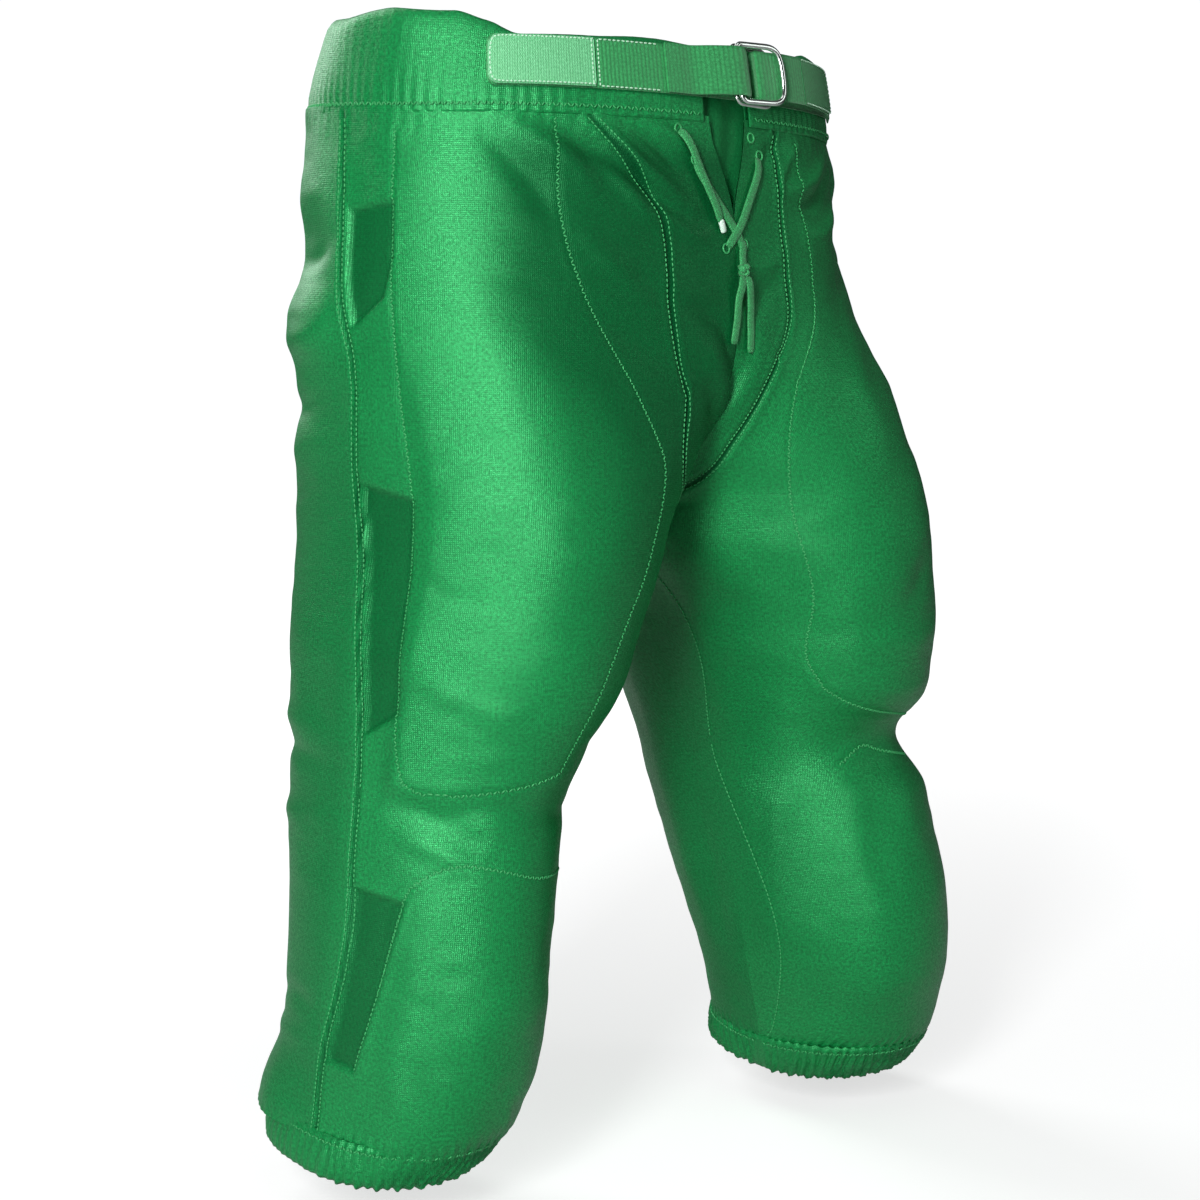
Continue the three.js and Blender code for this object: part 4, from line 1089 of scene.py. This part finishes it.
def wrap(around, away, depth):
    around = np.asarray(around, float)
    part = np.where(around > belt["wrap"], around / belt["wrap"] - 2, around / belt["wrap"])
    depth = np.broadcast_to(np.asarray(depth, float), part.shape)
    away = np.broadcast_to(np.asarray(away, float), part.shape)
    onRight = offSkin("right", np.clip(-part, 0, 1), depth, away)
    onLeft = offSkin("left", np.clip(part, 0, 1), depth, away)
    return np.where((part < 0)[..., None], onRight, onLeft)


def level(start, end, away, steps):
    return [(start + (end - start) * i / steps, away) for i in range(steps + 1)]


def strap(name, path, material, ribs, thickSide=1, step=0.45, rows=13, roundStart=0.0, roundEnd=0.0,
          ribHigh=0.22, inset=0.0):
    # a tape along a path with ribs across it, one of them every ribs millimetres
    path = np.array(path, float)
    keep = np.concatenate([[True], np.linalg.norm(np.diff(path, axis=0), axis=1) > 0.05])
    path = path[keep]
    length = np.linalg.norm(np.diff(path, axis=0), axis=1).sum()
    fine = through(path, max(int(length / step), 8))
    direction = np.gradient(fine, axis=0)
    direction /= np.linalg.norm(direction, axis=1, keepdims=True)
    side = np.stack([-direction[:, 1], direction[:, 0]], -1) * thickSide
    at = np.concatenate([[0], np.cumsum(np.linalg.norm(np.diff(fine, axis=0), axis=1))])
    rib = ribHigh * (np.abs(np.sin(np.pi * at / ribs)) - 0.5)
    across = np.linspace(-1, 1, rows)
    half = belt["width"] / 2 - inset
    middle = belt["top"] + belt["width"] / 2
    narrow = np.ones(len(at)) * half
    for radius, distance in ((roundStart, at), (roundEnd, at[-1] - at)):
        if radius:
            cut = np.clip(radius - distance, 0, radius)
            narrow = np.minimum(narrow, half - radius + np.sqrt(np.maximum(radius**2 - cut**2, 0)))
    depth = middle + across[:, None] * narrow[None, :]
    edge = 1 - smooth(0.86, 1, np.abs(across))[:, None]
    back = fine[None] + 0 * depth[..., None]
    over = belt["thick"] * (0.55 + 0.45 * edge) + rib[None] * edge
    under = belt["thick"] * 0.2 * (1 - edge)
    outerLine = back + side[None] * over[..., None]
    innerLine = back + side[None] * under[..., None]
    outer = wrap(outerLine[..., 0], outerLine[..., 1], depth)
    inner = wrap(innerLine[..., 0], innerLine[..., 1], depth)
    uv = np.stack([np.broadcast_to(at[None], depth.shape), depth], -1)
    # painted shade in the valleys between the ribs, carried in the tone attribute
    shade = np.broadcast_to((0.35 + 0.65 * np.abs(np.sin(np.pi * at / ribs)) ** 0.7)[None], depth.shape)
    return shell(name, outer, inner, material, uv, shade)


loopSide = belt["barAt"] + belt["wire"] / 2 + belt["play"] + belt["thick"]
loopOuter = belt["barAway"] + belt["barStep"] + belt["wire"] / 2 + belt["play"] + belt["thick"]
barAt, strapAway = belt["barAt"], belt["strapAway"]
patchEnd = -0.172 * belt["wrap"]
beltMain = level(-belt["slot"], barAt - 2, strapAway, 14) + [
    (barAt + 2, strapAway), (loopSide, strapAway + 2), (loopSide + 0.6, (strapAway + loopOuter) / 2),
    (loopSide, loopOuter - 2), (barAt + 1, loopOuter), (barAt - 4, loopOuter - 0.2),
    (barAt - 16, loopOuter * 0.68)
] + level(barAt - 26, barAt - 44, strapAway + 2 * belt["thick"] + 0.5, 2)
ringStrap = strap("beltRingStrap", beltMain, webbing, 2.6, roundStart=6)
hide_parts("belt_ring_strap")
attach(ringStrap, "seat")
patchPath = level(-belt["slot"] + 1, patchEnd, strapAway + belt["thick"] + 0.15, 12)
patch = strap("beltPatch", patchPath, paleWebbing, 1.7, roundStart=7, ribHigh=0.3, inset=0.4)
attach(patch, "seat")

leftPath = level(belt["slot"], belt["turn"] + 9, belt["underAway"], 14) + [
    (belt["turn"] + 3, belt["underAway"] + 0.6), (belt["turn"], belt["underAway"] + 3),
    (belt["turn"], belt["over"] - 4.5), (belt["turn"] + 3, belt["over"] - 2.4),
    (belt["turn"] + 10, belt["over"] - 1.6),
    (belt["turn"] + 16, belt["over"] - 0.8)] + level(belt["turn"] + 21, belt["turn"] + 40, belt["over"], 4)
leftStrap = strap("beltLeftStrap", leftPath, webbing, 2.6, -1)
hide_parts("belt_left_strap")
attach(leftStrap, "seat")
tailStart, tailSteps = belt["turn"] + belt["tailFrom"], 8
tailEnd = belt["turn"] + belt["tailTo"] + belt["tailLength"]
tailDrop = belt["over"] - belt["thick"] - belt["underAway"] - 2 * belt["thick"]
tailPath = [(x, away - tailDrop * i / tailSteps) for i, (x, away) in
            enumerate(level(tailStart, tailEnd, belt["over"] - belt["thick"], tailSteps))]
tail = strap("beltTail", tailPath, webbing, 2.6, roundEnd=9)
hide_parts("belt_tail")
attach(tail, "belt_tail")
tunnelPath = level(belt["slot"] + 2, 2 * belt["wrap"] - belt["slot"] - 2, -5.6, 60)
tunnel = strap("beltInside", tunnelPath, webbing, 5.2, step=1.3, rows=5)
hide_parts("belt_tunnel_part")
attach(tunnel, "seat")
print("belt made", round(time.time() - started, 1))

# D-rings: wire bent round, standing on their bars
beltMiddle = belt["top"] + belt["width"] / 2
barPlace = wrap(barAt, 0, beltMiddle)
barLow, barHigh = wrap(barAt, 0, belt["top"] + belt["width"]), wrap(barAt, 0, belt["top"])
barTilt = math.atan2(barHigh[1] - barLow[1], barHigh[2] - barLow[2])
recede = wrap(barAt + belt["ringReach"], 0, beltMiddle)[1] - barPlace[1]
outerAway = belt["over"] + belt["wire"] / 2 + 1.4
ringRise = [0.7, outerAway - belt["barAway"] - belt["barStep"]]


def ringLine():
    half, far, corner = belt["ringInside"] / 2 + belt["wire"] / 2, belt["ringReach"] - belt["wire"], 4.0
    line = [(0, y) for y in np.linspace(-half + corner, half - corner, 14)]
    line += [(corner - corner * math.cos(a), half - corner + corner * math.sin(a))
             for a in np.linspace(0.2, 1.4, 6)]
    line += [(x, half) for x in np.linspace(corner + 1, far * 0.62, 8)]
    for t in np.linspace(0.06, 0.97, 14):
        a, b, c, d = (far * 0.64, half), (far * 0.95, half), (far, half * 0.72), (far, 0)
        k = [(1 - t) ** 3, 3 * t * (1 - t) ** 2, 3 * t * t * (1 - t), t**3]
        line.append(tuple(sum(w * p[i] for w, p in zip(k, (a, b, c, d))) for i in (0, 1)))
    top = line[14:]
    line += [(far, 0)] + [(x, -y) for x, y in reversed(top)]
    return np.array(line)


for index, name in enumerate(("ring_inner", "ring_outer")):
    lean = math.asin((recede - ringRise[index]) / (belt["ringReach"] - belt["wire"]))
    tilt = math.pi / 2 - barTilt
    flat = ringLine()
    count = len(flat)
    before, after = np.roll(flat, 1, 0), np.roll(flat, -1, 0)
    tangent = after - before
    tangent /= np.linalg.norm(tangent, axis=1, keepdims=True)
    outwardFlat = np.stack([tangent[:, 1], -tangent[:, 0]], -1)
    around = 14
    angle = np.linspace(0, 2 * np.pi, around, endpoint=False)
    local = np.zeros((count, around, 3))
    swing = (np.cos(angle) * belt["wire"] / 2)[None, :, None]
    local[..., :2] = flat[:, None] + outwardFlat[:, None] * swing
    local[..., 2] = (np.sin(angle) * belt["wire"] / 2 * 0.86)[None]
    x, y, z = local[..., 0], local[..., 1], local[..., 2]
    x, z = x * math.cos(lean) + z * math.sin(lean), -x * math.sin(lean) + z * math.cos(lean)
    y, z = y * math.cos(tilt) - z * math.sin(tilt), y * math.sin(tilt) + z * math.cos(tilt)
    place = wrap(barAt, belt["barAway"] + index * belt["barStep"], beltMiddle)
    points = np.stack([x, y, z], -1).reshape(-1, 3) + place
    piece = outward(newMesh(f"dRing_{'inner' if index == 0 else 'outer'}", points,
                            gridFaces(count, around, wrapCols=True, wrapRows=True), brightWire))
    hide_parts(name)
    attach(piece, name)
print("rings made", round(time.time() - started, 1))

# Cuffs: a hem folded over elastic
cuff = {"pitch": 6.4, "gather": 1.5}
for side in ("right", "left"):
    profile = [(0.4, 641), (1.0, 645), (1.5, 650), (1.9, 656), (1.8, 662), (1.0, 667), (-0.4, 669.5),
               (-2.0, 669),
               (-3.0, 665), (-3.3, 658), (-3.2, 649), (-2.6, 647), (-2.4, 655), (-2.0, 662), (-1.2, 666),
               (-0.2, 666), (0.4, 661), (0.3, 652), (-0.2, 646), (-0.6, 641)]
    us = np.linspace(0, 1, 420, endpoint=False)

    def gathered(u, away, depth, side=side):
        place = skin(side, u, depth)
        flatPart = 0.75 * smooth(0.42, 0.5, u) * (1 - smooth(0.72, 0.8, u))
        s = lookUp(arcTable[side], u, depth)
        wave = np.sin(s * 2 * np.pi / cuff["pitch"] + 2.2 * softNoise(place, 14))
        seamFade = smooth(0, 0.02, u) * (1 - smooth(0.98, 1, u))
        fuller = 0.6 + 0.4 * smooth(640, 655, depth)
        away = away + cuff["gather"] * wave * (1 - flatPart) * seamFade * fuller
        away = away + 0.7 * softNoise(place, 11) * seamFade
        sway = 0.8 * np.sin(s * 2 * np.pi / cuff["pitch"] * 0.5 + 1)
        depth = depth + sway * smooth(660, 668, depth) * (1 - flatPart)
        return away, depth

    piece = band(f"hemBand_{side}", side, us, profile, satinKnit, gathered, True)
    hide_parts(f"hem_band_{side}")
    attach(piece, f"{side}_shin")
    profile = [(-3.9, 648), (-3.7, 653), (-3.7, 660), (-3.9, 666), (-4.8, 666), (-5.0, 660), (-5.0, 653),
               (-4.8, 648)]

    def ribbed(u, away, depth, side=side):
        return away + 0.3 * np.sin(lookUp(arcTable[side], u, depth) * 2 * np.pi / 2.4) * (u > 0.01), depth

    piece = band(f"cuffElastic_{side}", side, np.linspace(0, 1, 700, endpoint=False), profile, elasticTape,
                 ribbed, True)
    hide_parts(f"cuff_elastic_{side}")
    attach(piece, f"{side}_shin")
print("cuffs made", round(time.time() - started, 1))


# Pads: foam with crowned faces and rounded corners, each behind its own pocket lining
def pad(name, grid, outside, inside, material, crown=1.2, thin=0.25):
    # grid(a, b, away) gives a point for a and b from 0 to 1
    rows, cols = 44, 36
    a, b = np.meshgrid(np.linspace(0, 1, rows), np.linspace(0, 1, cols), indexing="ij")
    fa, fb = 2 * a - 1, 2 * b - 1
    corner = np.minimum(1, 1.0 / np.maximum((np.abs(fa) ** 6 + np.abs(fb) ** 6) ** (1 / 6), 1e-6))
    roundA, roundB = (fa * corner + 1) / 2, (fb * corner + 1) / 2
    edge = np.clip(1 - (np.abs(fa) ** 6 + np.abs(fb) ** 6), 0, 1) ** 0.35
    middle, half = (outside + inside) / 2, (outside - inside) / 2
    wave = 1 - crown * 0.08 * (np.abs(np.sin(a * 9)) * np.abs(np.sin(b * 9)))
    out = middle + half * (thin + (1 - thin) * edge) * wave
    into = middle - half * (thin + (1 - thin) * edge) * wave
    outer = grid(roundA, roundB, out)
    inner = grid(roundA, roundB, into)
    uv = np.stack([b * 150, a * 200], -1)
    return shell(name, outer, inner, material, uv)


def sideGrid(side, uFrom, uTo, top, bottom):
    def grid(a, b, away):
        depth = top + (bottom - top) * a
        return offSkin(side, uFrom + (uTo - uFrom) * b, depth, away)
    return grid


def middleGrid(half, top, bottom, front):
    def grid(a, b, away):
        return acrossMiddle(half * (2 * b - 1), top + (bottom - top) * a, away, front)
    return grid


def follow(piece, body):
    # a pad on a thigh or shin keeps its place with its transform baked in; any other pad is attached to its
    # body
    if body.endswith("thigh"):
        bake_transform(piece)
    elif body.endswith("shin"):
        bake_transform(piece)
    else:
        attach(piece, body)


padList = []
for side in ("right", "left"):
    padList += [
        (f"hipPad_{side}", f"hip_pad_{side}", f"hip_pocket_{side}", sideGrid(side, .43, .62, 60, 128), -5,
         -13, "seat"),
        (f"thighPad_{side}", f"thigh_pad_{side}", f"thigh_pocket_{side}",
         sideGrid(side, .18, .43, 207, 415), -5, -16, f"{side}_thigh"),
        (f"kneePad_{side}", f"knee_pad_{side}", f"knee_pocket_{side}", sideGrid(side, .14, .39, 500, 620),
         -5, -16, f"{side}_shin"),
    ]
padList.append(("tailPad", "tail_pad", "tail_pocket", middleGrid(36, 64, 192, False), -5, -14, "seat"))
for name, node, pocketNode, grid, outside, inside, body in padList:
    piece = pad(name, grid, outside, inside, openFoam)
    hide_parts(node)
    follow(piece, body)
    lining = pad(name.replace("Pad", "Pocket"), grid, inside - 3, inside - 4.4, meshLining, 0.3, 0.8)
    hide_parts(pocketNode)
    follow(lining, body)
print("pads and pockets made", round(time.time() - started, 1))


# Stitches
def stitchTree():
    tree = bpy.data.node_groups.new("stitchRow", "GeometryNodeTree")
    face = tree.interface
    face.new_socket(name="Geometry", in_out="INPUT", socket_type="NodeSocketGeometry")
    for label, value in (("Gap", 0.86), ("Width", 0.00055), ("Height", 0.0005)):
        face.new_socket(name=label, in_out="INPUT", socket_type="NodeSocketFloat").default_value = value
    face.new_socket(name="Thread", in_out="INPUT", socket_type="NodeSocketMaterial")
    face.new_socket(name="Geometry", in_out="OUTPUT", socket_type="NodeSocketGeometry")
    make = tree.nodes.new
    inside, out = make("NodeGroupInput"), make("NodeGroupOutput")

    def named(name, kind):
        node = make("GeometryNodeInputNamedAttribute")
        node.data_type = kind
        node.inputs["Name"].default_value = name
        return node.outputs["Attribute"]

    first = make("FunctionNodeAlignRotationToVector")
    first.axis = "X"
    second = make("FunctionNodeAlignRotationToVector")
    second.axis, second.pivot_axis = "Z", "X"
    link = tree.links.new
    link(named("along", "FLOAT_VECTOR"), first.inputs["Vector"])
    link(first.outputs[0], second.inputs["Rotation"])
    link(named("up", "FLOAT_VECTOR"), second.inputs["Vector"])
    bead = make("GeometryNodeMeshUVSphere")
    bead.inputs["Segments"].default_value, bead.inputs["Rings"].default_value = 6, 5
    shorter = make("ShaderNodeMath")
    shorter.operation = "MULTIPLY"
    link(named("reach", "FLOAT"), shorter.inputs[0])
    link(inside.outputs["Gap"], shorter.inputs[1])
    size = make("ShaderNodeCombineXYZ")
    link(shorter.outputs[0], size.inputs[0])
    link(inside.outputs["Width"], size.inputs[1])
    link(inside.outputs["Height"], size.inputs[2])
    place = make("GeometryNodeInstanceOnPoints")
    link(inside.outputs["Geometry"], place.inputs["Points"])
    link(bead.outputs["Mesh"], place.inputs["Instance"])
    link(second.outputs[0], place.inputs["Rotation"])
    link(size.outputs[0], place.inputs["Scale"])
    real, paint = make("GeometryNodeRealizeInstances"), make("GeometryNodeSetMaterial")
    link(place.outputs[0], real.inputs[0])
    link(real.outputs[0], paint.inputs[0])
    link(inside.outputs["Thread"], paint.inputs["Material"])
    link(paint.outputs[0], out.inputs[0])
    return tree


stitchRow = stitchTree()


def sew(name, rows, thread, gap=0.86, wide=0.5, high=0.45):
    # rows is a list of (corner points, normals) in millimetres; a stitch joins each corner to the next
    centers, steps, ups, reach = [], [], [], []
    for corners, normals in rows:
        corners, normals = np.asarray(corners), np.asarray(normals)
        step = np.diff(corners, axis=0)
        centers.append((corners[1:] + corners[:-1]) / 2)
        steps.append(step)
        ups.append((normals[1:] + normals[:-1]) / 2)
        reach.append(np.linalg.norm(step, axis=1) / 2)
    centers, steps, ups, reach = (np.concatenate(k) for k in (centers, steps, ups, reach))
    mesh = bpy.data.meshes.new(name)
    mesh.from_pydata([tuple(p) for p in centers * mm], [], [])
    for label, kind, values in (("along", "FLOAT_VECTOR", steps), ("up", "FLOAT_VECTOR", ups),
                                ("reach", "FLOAT", reach * mm)):
        attribute = mesh.attributes.new(label, kind, "POINT")
        attribute.data.foreach_set("vector" if kind == "FLOAT_VECTOR" else "value",
                                   np.asarray(values, np.float32).ravel())
    obj = bpy.data.objects.new(name, mesh)
    bpy.context.scene.collection.objects.link(obj)
    modifier = obj.modifiers.new("stitches", "NODES")
    modifier.node_group = stitchRow
    for socket in stitchRow.interface.items_tree:
        if socket.in_out == "INPUT" and socket.name in ("Gap", "Width", "Height", "Thread"):
            value = {"Gap": gap, "Width": wide * mm, "Height": high * mm, "Thread": thread}[socket.name]
            modifier[socket.identifier] = value
    made = applied(obj)
    for polygon in made.data.polygons:
        polygon.use_smooth = True
    return made


def clothRow(side, line, shift, pitch, zigzag=0.0, top=0.0, bottom=1000.0, away=0.25):
    # corners of a row of stitches beside a line, shifted round the side, within some depths
    fine, s = lineOn(side, line, 400)
    length = np.concatenate([[0], np.cumsum(np.hypot(np.diff(s), np.diff(fine[:, 1])))])
    count = max(int(length[-1] / pitch), 2)
    at = np.linspace(0, length[-1], count)
    u, depth = np.interp(at, length, fine[:, 0]), np.interp(at, length, fine[:, 1])
    ds, dd = np.gradient(np.interp(at, length, s)), np.gradient(depth)
    norm = np.hypot(ds, dd)
    sideS, sideD = dd / norm, -ds / norm
    swing = shift + zigzag * np.where(np.arange(count) % 2, 1, -1)
    u = u + sideS * swing * perMillimetre(side, u, depth)
    depth = depth + sideD * swing
    keep = (depth >= top) & (depth <= bottom) & (u > 0.001) & (u < 0.999)
    u, depth = u[keep], depth[keep]
    if len(u) < 3:
        return None
    high, tone = relief(side, u, depth)
    return offSkin(side, u, depth, high + away), normalOf(side, u, depth)


needle = {"double": 2.4, "pitch": 2.9, "zigzag": 1.2, "zigzagPitch": 2.1}
innerLegLine = [(.012, 290), (.010, 360), (.010, 460), (.010, 640)]
seatLine = [(.992, 54), (.992, 150), (.992, 262)]
for side in ("right", "left"):
    upper, lower = [], []
    for name, line in seamLines[side].items():
        double = name in ("outer", "cup")
        rows = [(0, needle["zigzagPitch"], needle["zigzag"])]
        if double:
            rows = [(-needle["double"], needle["pitch"], 0), (needle["double"], needle["pitch"], 0)]
        elif name == "kneeOuter":
            rows = [(0, needle["pitch"], 0)]
        for shift, pitch, zigzag in rows:
            upper.append(clothRow(side, line, shift, pitch, zigzag, 51, split["knee"] - 1))
            lower.append(clothRow(side, line, shift, pitch, zigzag, split["knee"] + 1, split["hem"] - 4))
    upper.append(clothRow(side, innerLegLine, 0, needle["pitch"], 0, 284, split["knee"] - 1))
    lower.append(clothRow(side, innerLegLine, 0, needle["pitch"], 0, split["knee"] + 1, 642))
    upper.append(clothRow(side, seatLine, 0, needle["pitch"], 0, 51, 270))
    piece = sew(f"stitches_{side}", [row for row in upper if row is not None], sewingThread)
    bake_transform(piece)
    piece = sew(f"kneeStitches_{side}", [row for row in lower if row is not None], sewingThread)
    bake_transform(piece)
print("seam stitches made", round(time.time() - started, 1))


def bandRow(side, uFrom, uTo, depth, pitch, zigzag, away):
    girth = lookUp(arcTable[side], uTo, depth) - lookUp(arcTable[side], uFrom, depth)
    count = int(girth / pitch)
    u = np.linspace(uFrom, uTo, count)
    deep = depth + zigzag * np.where(np.arange(count) % 2, 1, -1)
    return offSkin(side, u, deep, np.full(count, away)), normalOf(side, u, deep)


rows = []
for side in ("right", "left"):
    start = fractionAt(side, 24, 25)
    rows.append(bandRow(side, start, 0.999, 45.5, 2.3, 1.3, 0.9))
piece = sew("waistStitches", rows, sewingThread, wide=0.45)
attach(piece, "seat")
for side in ("right", "left"):
    rows = [bandRow(side, 0.005, 0.995, 645.5, 2.3, 1.1, 1.6)]
    piece = sew(f"hemStitches_{side}", rows, sewingThread, wide=0.45)
    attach(piece, f"{side}_shin")


def strapRow(points, pitch, away):
    # points are [distance round the waist, depth]; away(round) is the row's distance from the cloth
    line = through(points, 300)
    length = np.concatenate([[0], np.cumsum(np.linalg.norm(np.diff(line, axis=0), axis=1))])
    at = np.linspace(0, length[-1], max(int(length[-1] / pitch), 3))
    x, depth = np.interp(at, length, line[:, 0]), np.interp(at, length, line[:, 1])
    corners = wrap(x, away(x), depth)
    normals = wrap(x, away(x) + 1, depth) - corners
    return corners, normals


top, bottom, left, right = belt["top"], belt["top"] + belt["width"], -belt["slot"], patchEnd
patchAway = lambda x: np.full(np.shape(x), strapAway + 2 * belt["thick"] + 0.15)
mainAway = lambda x: np.full(np.shape(x), strapAway + belt["thick"] + 0.1)
rows = [
    strapRow([(right, top + 1.6), (left + 30, top + 1.6), (left + 8, top + 1.8), (left + 3.4, top + 5),
              (left + 2.6, top + 14), (left + 3.4, bottom - 5), (left + 8, bottom - 1.8),
              (left + 30, bottom - 1.6), (right, bottom - 1.6)], 2.6, patchAway),
    strapRow([(right - 1.6, top + 1.5), (right - 1.6, bottom - 1.5)], 2.2, patchAway),
    strapRow([(right + 3.4, top + 0.8), (right + 3.4, bottom - 0.8)], 2.2, mainAway),
    strapRow([(right + 4, top + 1.0), (-46, top + 1.0)], 2.8, mainAway),
    strapRow([(right + 4, bottom - 1.0), (-46, bottom - 1.0)], 2.8, mainAway),
]
piece = sew("beltStitches", rows, paleThread, wide=0.5, high=0.4)
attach(piece, "seat")
slope = tailDrop / (tailEnd - tailStart)


def tailAway(x):
    return belt["over"] - belt["thick"] - slope * (np.asarray(x) - tailStart) + belt["thick"] + 0.12


rows = [strapRow([(tailStart + 1, top + 1.1), (tailEnd - 12, top + 1.1), (tailEnd - 4, top + 3.4),
                  (tailEnd - 1.6, top + 12),
                  (tailEnd - 1.6, bottom - 12), (tailEnd - 4, bottom - 3.4), (tailEnd - 12, bottom - 1.1),
                  (tailStart + 1, bottom - 1.1)], 2.6, tailAway)]
piece = sew("tailStitches", rows, paleThread, wide=0.5, high=0.4)
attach(piece, "belt_tail")
print("stitches made", round(time.time() - started, 1))


# Floor, light and background
floorLevel, floorSides = -0.692, 48


def floorSheet():
    # a round pale floor, which brightens with distance into the background
    rings = np.concatenate([[0.02], np.linspace(0.3, 14, 40)])
    turns = np.linspace(0, 2 * np.pi, floorSides, endpoint=False)
    points = np.stack([rings[:, None] * np.cos(turns), rings[:, None] * np.sin(turns),
                       np.full((len(rings), floorSides), floorLevel)], -1).reshape(-1, 3)
    material, tree, shader = shaderOf("paper")
    coords = tree.nodes.new("ShaderNodeTexCoord")
    reach = tree.nodes.new("ShaderNodeVectorMath")
    reach.operation = "LENGTH"
    tree.links.new(coords.outputs["Object"], reach.inputs[0])
    seen = tree.nodes.new("ShaderNodeLightPath")
    glow = ranged(tree, reach.outputs["Value"], 0.4, 2.2, 0.55, 1.0)
    tree.links.new(mathNode(tree, "MULTIPLY", glow, seen.outputs["Is Camera Ray"]),
                   shader.inputs["Emission Strength"])
    shader.inputs["Emission Color"].default_value = (1, 1, 1, 1)
    shader.inputs["Base Color"].default_value = (0.55, 0.56, 0.56, 1)
    shader.inputs["Roughness"].default_value = 0.9
    faces = gridFaces(len(rings), floorSides, wrapCols=True) + [tuple(range(floorSides))[::-1]]
    obj = newMesh("floor", points / mm, faces, material)


floorSheet()
lamps = {
    "key": dict(azimuth=-62, elevation=14, distance=2.6, size=(0.45, 2.0), power=80),
    "side": dict(azimuth=34, elevation=20, distance=2.8, size=(0.8, 1.6), power=7),
    "rear": dict(azimuth=178, elevation=32, distance=2.8, size=(1.2, 1.8), power=30),
    "above": dict(azimuth=-20, elevation=75, distance=2.6, size=(1.4, 1.4), power=6),
}
for name, lamp in lamps.items():
    data = bpy.data.lights.new(name, "AREA")
    data.shape = "RECTANGLE"
    data.energy, data.size, data.size_y = lamp["power"], *lamp["size"]
    obj = bpy.data.objects.new(name, data)
    bpy.context.scene.collection.objects.link(obj)
    a, e = math.radians(lamp["azimuth"]), math.radians(lamp["elevation"])
    way = Vector((math.sin(a) * math.cos(e), -math.cos(a) * math.cos(e), math.sin(e)))
    obj.location = Vector((0, 0, -0.33)) + way * lamp["distance"]
    obj.rotation_euler = (-way).to_track_quat("-Z", "Y").to_euler()
world = bpy.data.worlds.new("studio")
bpy.context.scene.world = world
world.use_nodes = True
tree = world.node_tree
seen = tree.nodes.new("ShaderNodeLightPath")
tree.nodes["Background"].inputs[0].default_value = (0.97, 0.98, 1.0, 1)
tree.links.new(ranged(tree, seen.outputs["Is Camera Ray"], 0, 1, 0.06, 1.05),
               tree.nodes["Background"].inputs[1])
bpy.context.scene.view_settings.view_transform = "Standard"
print("light set", round(time.time() - started, 1))
